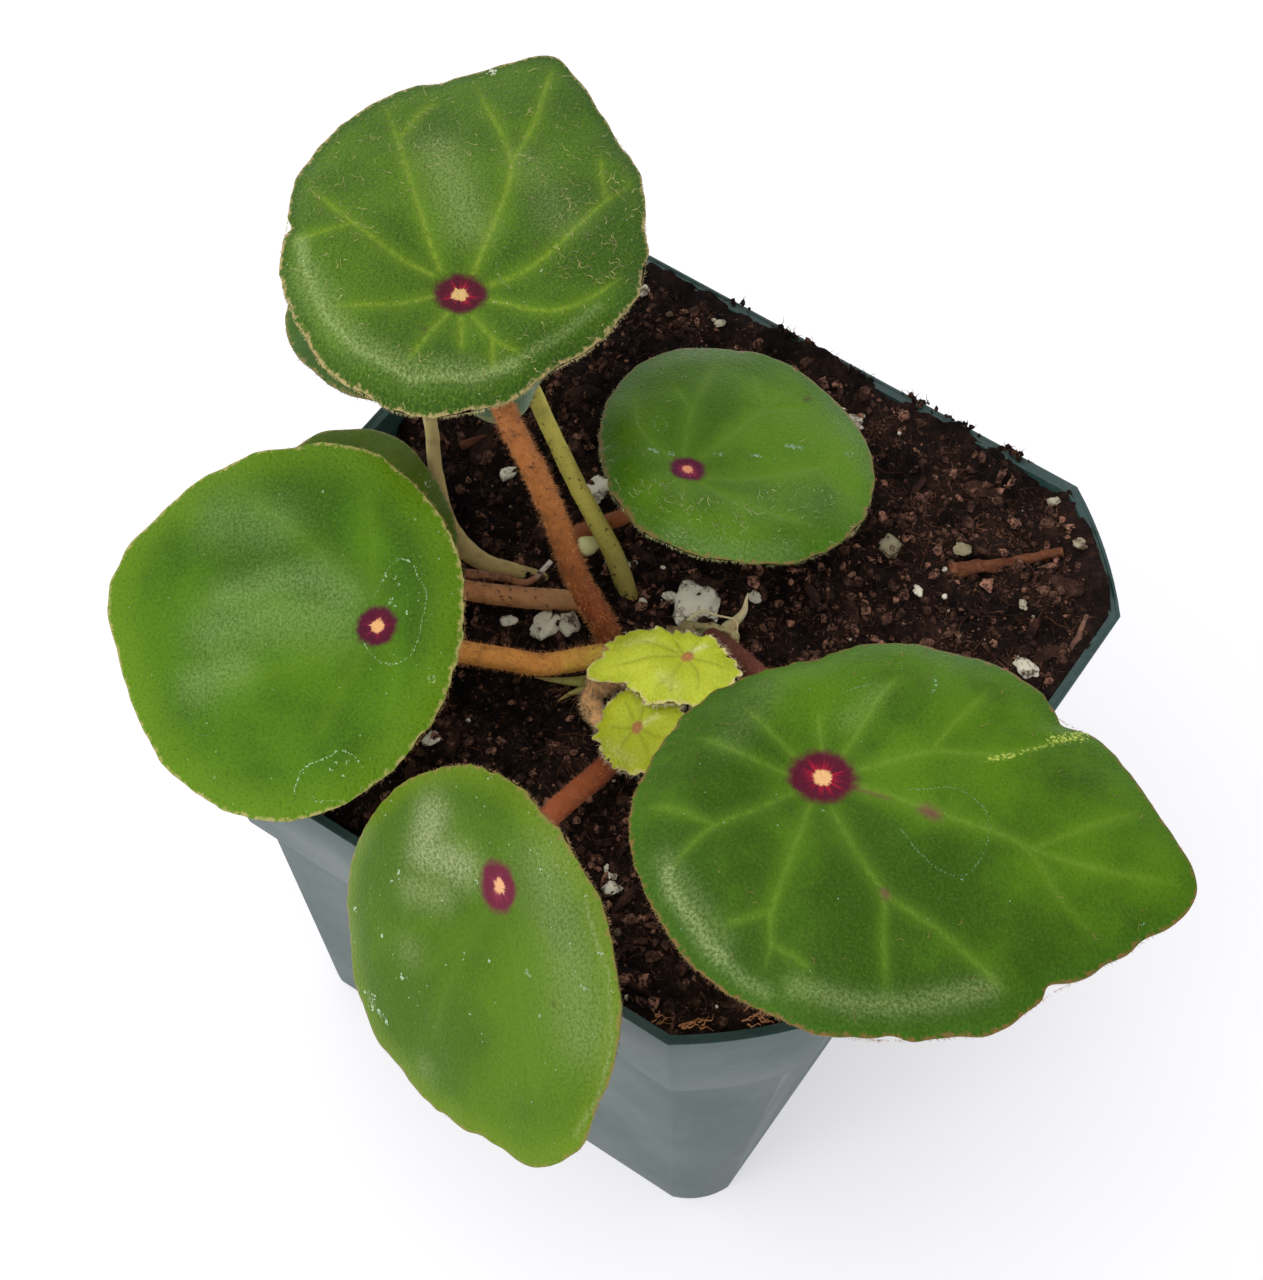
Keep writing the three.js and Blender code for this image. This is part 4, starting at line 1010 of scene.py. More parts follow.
def leaf_hairs(leaf, rng):
    """Fine hairs along the blade's margin, and curled ones on its face where the leaf has them."""
    reach = margin_radius(leaf["outline"], np.linspace(0, 360, 721))
    around = float(np.sum(reach[1:]) * math.radians(0.5))
    count = int(leaf["margin_hairs"] * around)
    degrees = rng.uniform(0, 360, count)
    roots = blade_points(leaf, degrees, np.full(count, 0.992), -HAIR_SINK)
    further = blade_points(leaf, degrees, np.full(count, 1.03), -HAIR_SINK)
    outward = further - roots
    outward /= np.linalg.norm(outward, axis=1, keepdims=True)
    ways = outward + rng.normal(0, 0.45, (count, 3))
    lengths = leaf["hair_length"] * rng.uniform(0.35, 1.15, count)
    lots = [strands(rng, roots, ways, lengths, HAIR_RADIUS, 0.6, 0.08, 3)]
    for low, high, start, end, number, length in leaf["curls"]:
        degrees = rng.uniform(low, high, number)
        t = rng.uniform(start, end, number) ** 0.7
        roots = blade_points(leaf, degrees, t, -0.02)
        along = rng.normal(0, 1, (number, 3))
        up = leaf_axes(leaf)[2]
        along -= np.outer(along @ up, up)
        along /= np.linalg.norm(along, axis=1, keepdims=True)
        ways = along + 0.22 * up
        lengths = length * rng.uniform(0.5, 1.2, number)
        lots.append(strands(rng, roots, ways, lengths, CURLED_HAIR_RADIUS, 0.5, 0.13, 7))
    return strands_piece("hairs_" + leaf["name"], lots)


def lime_marks(leaf, rng):
    """Dried lime on the blade: beaded lines where drops stood, and loose specks of it."""
    places, radii = [], []
    for width, line in leaf["lime_lines"]:
        points = np.array(rounded(line))
        walked = np.concatenate([[0], np.cumsum(np.linalg.norm(np.diff(points, axis=0), axis=1))])
        even = np.arange(0, walked[-1], BEAD_PITCH)
        even = even[rng.uniform(0, 1, len(even)) < 0.65]
        beads = np.stack([np.interp(even, walked, points[:, axis]) for axis in range(2)], 1)
        places.append(beads + rng.normal(0, 0.05, beads.shape))
        radii.append(width * rng.uniform(0.5, 1.3, len(beads)))
    for radius, spots in leaf["lime_specks"]:
        for spot in spots:
            places.append(np.array(spot) + rng.normal(0, 0.6 * radius, (5, 2)))
            radii.append(radius * rng.uniform(0.25, 0.7, 5))
    dust = rng.uniform(0, 360, leaf["dust"]), rng.uniform(0.05, 0.95, leaf["dust"]) ** 0.5
    reach = dust[1] * margin_radius(leaf["outline"], dust[0])
    places.append(np.stack([reach * np.cos(np.radians(dust[0])), reach * np.sin(np.radians(dust[0]))], 1))
    radii.append(rng.uniform(0.05, 0.11, leaf["dust"]))
    places, radii = np.concatenate(places), np.concatenate(radii)
    degrees = np.degrees(np.arctan2(places[:, 1], places[:, 0]))
    t = np.hypot(places[:, 0], places[:, 1]) / margin_radius(leaf["outline"], degrees)
    centres = blade_points(leaf, degrees, t, 0.01)
    sizes = radii[:, None] * rng.uniform(0.7, 1.2, (len(radii), 3)) * (1, 1, 0.5)
    upright = leaf_axes(leaf).T @ random_turns(rng, len(radii), 0.1)
    return lumps_piece("lime_" + leaf["name"], rng, 1, centres, sizes, upright, 0.15)


def lime_skin(leaf):
    """Dried lime: chalky white with a little of the green that shows through it."""
    material, _, shader = finish("lime_" + leaf["name"], 0.7, 0.3)
    shader.inputs["Base Color"].default_value = tone(leaf["look"]["lime"])
    return material


def hair_skin(name, colour):
    """Plant hair: one colour, a little uneven from hair to hair."""
    material, tree, shader = finish(name, 0.55, 0.4)
    dull = tuple(0.62 * value for value in colour)
    share = ramp(tree, clouds(tree, object_place(tree), 600, 2), 0.35, 0.65)
    tree.links.new(mixed(tree, share, tone(dull), tone(colour)), shader.inputs["Base Color"])
    return material


def smooth_route(points, step):
    """Points about a step apart on a smooth curve through all the given points, with the tangent at each."""
    knots = np.array(points, float)
    knots = np.vstack([2 * knots[0] - knots[1], knots, 2 * knots[-1] - knots[-2]])
    found = []
    for k in range(1, len(knots) - 2):
        four = knots[k - 1:k + 3]
        a, b, c = np.maximum(np.linalg.norm(np.diff(four, axis=0), axis=1) ** 0.5, 1e-4)
        into = (four[1] - four[0]) / a - (four[2] - four[0]) / (a + b) + (four[2] - four[1]) / b
        out = (four[2] - four[1]) / b - (four[3] - four[1]) / (b + c) + (four[3] - four[2]) / c
        into, out = into * b, out * b
        for s in np.linspace(0, 1, 24, endpoint=False):
            low = (2 * s ** 3 - 3 * s ** 2 + 1) * four[1] + (s ** 3 - 2 * s ** 2 + s) * into
            found.append(low + (3 * s ** 2 - 2 * s ** 3) * four[2] + (s ** 3 - s ** 2) * out)
    found = np.array(found + [knots[-2]])
    walked = np.concatenate([[0], np.cumsum(np.linalg.norm(np.diff(found, axis=0), axis=1))])
    count = max(4, round(walked[-1] / step))
    even = np.linspace(0, walked[-1], count + 1)
    path = np.stack([np.interp(even, walked, found[:, axis]) for axis in range(3)], 1)
    tangents = np.gradient(path, axis=0)
    return path, tangents / np.linalg.norm(tangents, axis=1, keepdims=True)


def tube(name, route, radius_at, sides, step, uneven=0.0, seed=1):
    """A closed tube along a smooth route, whose skin is a little uneven."""
    path, tangents = smooth_route(route, step)
    across = np.cross(tangents[0], (0.3, 0.9, 0.1))
    points = []
    for k, (centre, tangent) in enumerate(zip(path, tangents)):
        across = across - (across @ tangent) * tangent
        across /= np.linalg.norm(across)
        other = np.cross(tangent, across)
        s = k / (len(path) - 1)
        for side in range(sides):
            angle = side / sides * 2 * math.pi
            c, n = math.cos(angle), math.sin(angle)
            dent = uneven * noise.noise(Vector((3 * c, 3 * n, 0.6 * k * step + 17 * seed)))
            points.append(centre + radius_at(s) * (1 + dent) * (c * across + n * other))
    count = len(path)
    faces = [list(range(sides))[::-1]]
    for ring in range(count - 1):
        for side in range(sides):
            a, b = ring * sides + side, ring * sides + (side + 1) % sides
            faces.append([a, b, b + sides, a + sides])
    faces.append(list(range((count - 1) * sides, count * sides)))
    piece = mesh_piece(name, points, faces)
    along = piece.data.attributes.new("along", "FLOAT", "POINT")
    along.data.foreach_set("value", np.repeat(np.linspace(0, 1, count), sides))
    for face in piece.data.polygons:
        face.use_smooth = len(face.vertices) == 4
    return piece


def stalk_route(leaf):
    """The stalk's way up, which ends square under the eye."""
    normal = leaf_axes(leaf)[2]
    eye = np.array(leaf["eye"])
    under = eye - (BLADE + STALK_GAP) * normal
    return [*leaf["route"], under - STALK_COLLAR * normal, eye - (BLADE - 0.2) * normal]


def stalk_radius(leaf, s):
    """The stalk's radius at fraction s of its length."""
    return np.interp(s, leaf["stalk_at"], leaf["stalk"])


def stalk_skin(name, look):
    """A stalk's skin, from its colour at the foot to its colour at the top, with specks and fine ridges."""
    material, tree, shader = finish("stalk_" + name, 0.62, 0.3)
    place = object_place(tree)
    blotch = clouds(tree, place, 420, 6, 0.7)
    grain = clouds(tree, place, 1100, 3, 0.6)
    low, high = look["turn"]
    drift = reckon(tree, "MULTIPLY_ADD", blotch, 0.5, attribute(tree, "along"))
    colour = mixed(tree, ramp(tree, drift, low + 0.25, high + 0.25), tone(look["foot"]), tone(look["top"]))
    dull = mixed(tree, 0.55, colour, tone(look["speck"]))
    colour = mixed(tree, ramp(tree, blotch, 0.45, 0.7, 0.6), colour, dull)
    colour = mixed(tree, ramp(tree, grain, *look["speckled"]), colour, tone(look["speck"]))
    surface(tree, shader, colour, grain, 0.3, 0.9)
    return material


def stalk_hairs(leaf, rng):
    """Short hairs all over a stalk."""
    path, tangents = smooth_route(stalk_route(leaf), 0.4)
    length = 0.4 * (len(path) - 1)
    count = int(length * leaf["stalk_hairs"])
    k = rng.integers(0, len(path) - 2, count)
    within = rng.uniform(0, 1, (count, 1))
    centres = path[k] + (path[k + 1] - path[k]) * within
    ways = np.cross(tangents[k], rng.normal(0, 1, (count, 3)))
    ways /= np.linalg.norm(ways, axis=1, keepdims=True)
    radii = stalk_radius(leaf, k / (len(path) - 1))[:, None]
    roots = centres + 0.96 * radii * ways
    leaning = ways + 0.5 * tangents[k] * rng.normal(0, 1, (count, 1)) + rng.normal(0, 0.3, (count, 3))
    lengths = leaf["fuzz_length"] * rng.uniform(0.4, 1.2, count)
    lots = [strands(rng, roots, leaning, lengths, HAIR_RADIUS, 0.5, 0.06, 2)]
    return strands_piece("fuzz_" + leaf["name"], lots)


def grow_leaf(leaf, rng):
    """Makes a leaf's blade, its hairs, its stalk and the stalk's hairs, and dresses them."""
    leaf = {**LEAF_SHARED, **leaf, "look": {**LOOK_SHARED, **leaf["look"]}}
    stalk_look = {**STALK_LOOK_SHARED, **leaf["stalk_look"]}
    name = leaf["name"]
    blade = blade_mesh(leaf)
    blade.data.materials.append(blade_skin(leaf))
    dress(blade, blade_underside(leaf), ["blade_" + name])
    dress(leaf_hairs(leaf, rng), hair_skin("hair_" + name, leaf["look"]["hair"]))
    if "dust" in leaf:
        dress(lime_marks(leaf, rng), lime_skin(leaf))
    stalk = tube(
        "petiole_" + name, stalk_route(leaf), lambda s: stalk_radius(leaf, s), STALK_SIDES, STALK_STEP,
        STALK_UNEVEN, leaf["fall"],
    )
    dress(stalk, stalk_skin(name, stalk_look), ["stalk_" + name])
    if "stalk_hairs" in leaf:
        dress(stalk_hairs(leaf, rng), hair_skin("fuzz_" + name, stalk_look["fuzz"]))


# Top leaf. The tallest one, held level over the back left of the pot on a thick russet stalk. Its skin is
# pebbled, with forked veins, and short curled hairs lie on its outer half.
grow_leaf({
    "name": "top",
    "slot": "blade_green",
    "eye": (-32.9, 3, 125),
    "fall": 111, "tilt": 6, "heading": 110,
    "cup": 2.2, "cup_radius": 9, "curl_base": 4, "curl_tip": 1.5, "wave": 0.35,
    "outline": [
        (0, 45.1), (7, 43), (15, 40.2), (30, 37), (48, 32.2), (60, 29.7), (76, 25.1), (90, 23.3),
        (104, 21.6), (125, 19.9), (155, 19.4), (188, 18.9), (210, 17.5), (228, 16.3), (249, 16.6),
        (270, 19.2), (300, 23.9), (316, 26.9), (330, 31.7), (346, 37.1), (355, 42),
    ],
    "veins": [
        [(3, 3.5), (7.1, 6.3), (14.5, 10.5), (22.1, 14.6), (29.9, 18.9)],
        [(23, 14.9), (29.9, 13.7), (32.6, 11.9)],
        [(3.5, -0.4), (10.8, -0.9), (18.6, -1), (22.9, -0.2), (28.3, 2.9), (32.5, 6), (38, 9.4)],
        [(22.9, -0.2), (30.4, -1.1), (41, -0.3), (43.9, -0.4)],
        [(2.4, -3), (5.3, -7.3), (12.3, -10.6), (19.9, -13.1), (25, -16)],
        [(20.5, -13.2), (24.6, -11.5), (29, -10.4)],
        [(0, -4), (-1.3, -9.9), (0.3, -13.8), (4, -16.4), (9, -18.8)],
        [(-3.4, -2.5), (-7.2, -6), (-8.1, -10.6)], [(-7.2, -6), (-12, -7.5)], [(-4, -1.2), (-11, -3.3)],
        [(-3.8, 0.6), (-9.2, 1.7), (-14, 3)], [(-1.5, 3.2), (-4.9, 6.9), (-6.8, 11.4), (-7.4, 14.5)],
        [(1.9, 4.2), (2.8, 9.2), (6.9, 16.5), (13, 24.4)], [(6.5, 16.2), (3.9, 19.7), (2.5, 23)],
    ],
    "vein_width": (0.45, 1.9), "quilt": 0.12, "uneven": 0.12, "ragged": 0.22, "mesh": (330, 60),
    "margin_hairs": 12, "hair_length": 0.45,
    "curls": [(-70, 75, 0.35, 0.95, 330, 1.5), (75, 290, 0.5, 0.97, 90, 1.2)],
    # Painted sheen: strokes where light glances off the blade, in the look's sheen colour.
    "frost": [
        (0.9, 0.82, [(2.8, 21.5), (-1.8, 19.3), (-8.4, 14.8), (-12.9, 8.9), (-15.3, 1.9), (-13.3, -5.5),
         (-9.4, -9.5)]),
        (1.9, 0.46, [(-1.8, 19.3), (-8.4, 14.3), (-12.3, 8.9), (-14.5, 1.9), (-12.7, -5.3)]),
        (0.7, 0.4, [(-9.4, -9.5), (-3.5, -13.6), (2, -17)]),
        (3.2, 0.5, [(22.3, 9.2), (15.6, 5.2), (10.5, 2.2)]), (3.4, 0.24, [(23, -2.5), (14.3, -8.8)]),
    ],
    "stains": [
        (0.3, 0.7, [(-7.9, 2.2), (-7.8, 2.3)]), (0.22, 0.7, [(9.6, -6.9), (9.7, -6.8)]),
    ],
    "notches": [(78, 2.2, 0.9), (20, 2.4, 0.7), (338, 2.4, 0.6), (300, 3, 0.5), (50, 3, -0.4), (200, 3, 0.4)],
    "lime_lines": [
        (0.05, [(6.4, -2.8), (5, -3.1), (3.4, -4.2), (2.1, -5.8)]),
        (0.04, [(33.3, -3.4), (35, -3.4), (36.5, -2.9)]),
    ],
    "lime_specks": [
        (0.4, [(40.1, 7.4), (40.4, 6.9), (39.6, 7)]), (0.16, [(5.5, -8.8)]),
    ],
    "dust": 40,
    "look": {
        # Its edge green is darker than the blade's: painted shade where the margin curls under.
        "deep": (54, 88, 7), "light": (78, 114, 13), "drift": (0, 0.006), "mottle": 0.48,
        "dot": (108, 136, 37), "dots": 0.22, "edge": (40, 74, 10), "edge_share": 0.6, "edge_reach": 2.6,
        "glow": (104, 138, 22), "glow_share": 0.42, "vein": (136, 160, 46), "vein_share": 0.62,
        "frost": (150, 170, 104), "stain": (80, 40, 44), "lime": (186, 196, 170), "maroon": (80, 12, 34),
        "crimson": (160, 18, 50), "heart": (214, 176, 112), "eye": (3.4, 3.3), "rim": (182, 160, 108),
        "hair": (204, 190, 130), "roughness": 0.36, "specular": 0.12, "pebble": 0.3,
    },
    "stalk_slot": "stalk_russet",
    "stalk": (1.75, 1.525, 1.3),
    "route": [
        (-5, -4, 78.5), (-5.8, -3.8, 82), (-9.2, -4.6, 90), (-15, -4.3, 105.5), (-21.5, -3.7, 117.2),
        (-28, 0, 121.5),
    ],
    "stalk_hairs": 110, "fuzz_length": 0.7,
    "stalk_look": {
        "foot": (148, 74, 40), "top": (172, 106, 50), "speck": (84, 44, 30), "fuzz": (214, 144, 84),
        "turn": (0.1, 0.5), "speckled": (0.56, 0.74),
    },
}, np.random.default_rng(20))

# Left leaf. A smooth soft leaf that leans out over the left of the pot, with a yellow-green margin. Its stalk
# lies low over the mix and turns from yellow-green to orange.
grow_leaf({
    "name": "left",
    "slot": "blade_green",
    "eye": (-20.7, -31.9, 105),
    "fall": 256, "tilt": 30, "heading": 209,
    "cup": 2.2, "cup_radius": 9, "curl_base": 2.5, "curl_tip": 2, "wave": 0.3,
    "outline": [
        (0, 36.1), (15, 34.2), (30, 32.2), (60, 26.5), (90, 18.9), (120, 14.1), (150, 11.6), (180, 11.3),
        (210, 12.8), (240, 16.1), (258, 19.2), (270, 22.1), (300, 28), (321, 33.3), (344, 38.3),
    ],
    "veins": [
        [(2, 3), (5.6, 9.6), (8.4, 14.8)], [(3.5, 2), (11.4, 4.4), (22, 5.9)],
        [(2, -3.4), (10.2, -13.2), (19.6, -19.6)], [(0.6, -2.8), (-0.4, -13.1), (1.6, -19)],
        [(-1.4, 2.6), (-2.9, 6.6), (-0.7, 13.6)], [(3.5, -1.3), (12.9, -4.4), (26, -6)],
    ],
    "vein_width": (0.7, 2.6), "quilt": 0.03, "uneven": 0.1, "ragged": 0.18, "mesh": (320, 54),
    "margin_hairs": 6, "hair_length": 0.4,
    # Painted sheen: strokes where light glances off the blade, in the look's sheen colour.
    "frost": [
        (2.8, 0.46, [(19.8, -5.2), (13.7, -6.5), (7.5, -6.6), (4.3, -4)]),
        (4.2, 0.42, [(21, -1.6), (14.6, -2.5), (6, -1.8)]), (3, 0.42, [(24, 4.8), (18.2, 3.2)]),
        (4, 0.32, [(21, -16), (12.8, -13.8)]),
    ],
    "flecks": [
        (1, 0.96, [(-7.2, 7.2), (-7.4, 7.8)]),
    ],
    "notches": [(20, 3, 0.3), (330, 3, 0.3)],
    "lime_lines": [
        (0.08, [(-3.9, -7.8), (-5.6, -7), (-5.9, -5.4), (-6.9, -3.9), (-7, -1.9), (-6.2, 0.3),
         (-5.9, 2.2), (-4.7, 4.5), (-1.9, 5.3), (0.5, 4), (1.9, 1.7)]),
        (0.05, [(0.2, -3.7), (-0.8, -5.1), (-2.1, -6.9), (-3.9, -7.8)]),
        (0.1, [(2.4, 16.6), (3.3, 15.5), (4.8, 15.1), (5.5, 15.7), (6.8, 16.1), (8.5, 16.4),
         (10.1, 17.2), (10.4, 18.2), (11, 19.1), (11, 19.9)]),
        (0.08, [(8.7, 20.3), (8.2, 21.1), (7, 21), (5.2, 21.1)]),
        (0.035, [(25.4, 9.4), (24.6, 11.1), (22.9, 11.7), (21.4, 10.8), (20.9, 9.1), (21.8, 7.5),
         (23.4, 7.2), (24.9, 8), (25.4, 9.4)]),
    ],
    "lime_specks": [
        (0.2, [(-1.8, -2.6), (-2.6, -2.1), (-1.2, -5.4), (-1.7, -6.1), (-5, -7.5), (-4.3, -1.1),
         (-2.2, -3), (-3.4, -4.6), (-2.8, -5.6), (3.7, 16.6), (5.2, 16.6), (6, 17.4), (4.4, 18.2)]),
        (0.16, [(22.2, 16.7), (-7.5, 7.3), (6.4, -17.6)]),
    ],
    "dust": 70,
    "look": {
        "deep": (48, 84, 4), "light": (72, 112, 10), "drift": (0.003, 0.004), "mottle": 0.42,
        "dot": (88, 122, 20), "edge": (100, 134, 18), "edge_share": 0.6, "edge_reach": 7,
        "glow": (88, 126, 14), "glow_share": 0.3, "vein": (92, 128, 22), "vein_share": 0.12,
        "frost": (134, 158, 100), "fleck": (170, 176, 120), "stain": (90, 60, 50), "lime": (150, 178, 132),
        "maroon": (74, 12, 36), "crimson": (112, 18, 48), "heart": (214, 160, 104), "eye": (2.8, 2.5),
        "rim": (168, 156, 96), "hair": (176, 138, 84), "roughness": 0.38, "specular": 0.08,
    },
    "stalk_slot": "stalk_russet",
    "stalk": (1.55, 1.475, 1.4),
    "route": [
        (3.3, -6.6, 82.6), (-1.4, -8.8, 85.4), (-7.5, -16, 87.2), (-10.6, -18.9, 89.5), (-14.6, -23, 93),
        (-18.4, -27.6, 99),
    ],
    "stalk_hairs": 70, "fuzz_length": 0.6,
    "stalk_look": {
        "foot": (196, 160, 58), "top": (212, 142, 64), "speck": (110, 66, 34), "fuzz": (206, 142, 86),
        "turn": (0.15, 0.4),
    },
}, np.random.default_rng(21))

# Bottom leaf. It hangs steeply over the front of the pot and is longer than it is wide, with a bright margin
# that rolls under on its right.
grow_leaf({
    "name": "bottom",
    "slot": "blade_green",
    "eye": (11.9, -51.9, 104),
    "fall": 250, "tilt": 52, "heading": 317,
    "cup": 2.5, "cup_radius": 9, "curl_base": 3, "curl_tip": 2, "wave": 0.3,
    "outline": [
        (0, 32.6), (11, 31.2), (17, 28.8), (30, 25.1), (60, 17.9), (90, 12.9), (120, 10.9), (150, 11.5),
        (180, 14.1), (210, 17.2), (240, 22), (253, 23.6), (270, 25.4), (300, 27.8), (330, 29.4),
        (344, 30.1), (354, 32.4),
    ],
    "veins": [
        [(3, -2), (8.3, -7.9), (17, -14)], [(3.4, 0.2), (9.9, 1.6), (15.6, 1.1), (29, 0.6)],
        [(2.4, -1.6), (5.5, -6.1), (8.8, -14.6)], [(2.4, 2.2), (7.2, 7.4), (13.6, 10)],
    ],
    "vein_width": (0.6, 2.4), "quilt": 0.03, "uneven": 0.1, "ragged": 0.16, "mesh": (320, 54),
    "margin_hairs": 7, "hair_length": 0.4,
    # Painted sheen: strokes where light glances off the blade, in the look's sheen colour.
    "frost": [
        (2.6, 0.75, [(-9.6, -7.2), (-5.6, -9.2), (-4.4, -6.4), (-3.1, -4.6)]),
        (2.2, 0.4, [(-1.7, -11.9), (-0.3, -8)]), (2, 0.22, [(5.5, -14.1), (5.6, -13.9)]),
        (0.22, 0.42, [(3.5, 13), (11.8, 14.7), (19.8, 12.8), (25.5, 9.6), (29.6, 5.3)]),
        (4.2, 0.26, [(-1, 8), (8, 10.4), (18, 9.8)]), (1.6, 0.24, [(19.4, -15.8), (19.5, -15.6)]),
    ],
    "stains": [
        (0.25, 0.6, [(14.2, 6.7), (14.3, 6.8)]),
    ],
    "flecks": [
        (1, 0.98, [(10.1, 3.4), (10.6, 3.8)]), (1, 0.98, [(12.8, 11.2), (13.4, 11.5)]),
        (1.2, 0.97, [(9.6, -23), (11.4, -22.2), (12.8, -20.8)]), (0.9, 0.95, [(8.2, -16), (8.6, -15.3)]),
    ],
    "notches": [(330, 2, 0.4), (20, 2, 0.35)],
    "lime_lines": [
        (0.05, [(-3.1, -18.6), (-2.3, -19.4), (-1.2, -19.2), (-0.8, -19.9)]),
    ],
    "lime_specks": [
        (0.22, [(-0.9, 7.6), (8.1, -2.3), (-3.9, -13.4), (-3.1, -15), (9.6, 14.3), (-1.2, -3)]),
        (0.13, [(6.9, -6), (15.4, 4.6), (13.9, -6.1), (13.9, 14.5)]),
        (0.3, [(9.3, -23.6), (11.4, -22.7), (12, -21.6), (13.3, -20.6), (9.9, -22), (3.2, -18.4),
         (-0.6, -23), (8.3, -15.9)]),
    ],
    "dust": 90,
    "look": {
        "deep": (62, 95, 4), "light": (78, 112, 8), "drift": (0.003, 0.006), "mottle": 0.34,
        "dot": (98, 120, 31), "dots": 0.2, "edge": (110, 136, 22), "edge_share": 0.45, "edge_reach": 4,
        "glow": (84, 114, 17), "glow_share": 0.3, "vein": (92, 118, 34), "vein_share": 0.14,
        "frost": (160, 168, 124), "fleck": (136, 160, 128), "lime": (168, 186, 156), "maroon": (98, 26, 48),
        "crimson": (128, 40, 66), "heart": (214, 160, 116), "eye": (3.1, 2.7), "rim": (130, 116, 60),
        "under": (70, 96, 44), "hair": (170, 136, 90), "roughness": 0.34, "specular": 0.1,
    },
    "stalk_slot": "stalk_russet",
    "stalk": (1.55, 1.475, 1.4),
    "route": [
        (3.2, -8.6, 80.6), (6.4, -16, 81.4), (6.8, -21.9, 83.6), (7.3, -29, 88.2), (8, -35.8, 93),
        (9.4, -44, 98.3),
    ],
    "stalk_hairs": 60, "fuzz_length": 0.5,
    "stalk_look": {
        "foot": (138, 64, 34), "top": (168, 86, 44), "speck": (84, 44, 30), "fuzz": (190, 120, 80),
    },
}, np.random.default_rng(22))

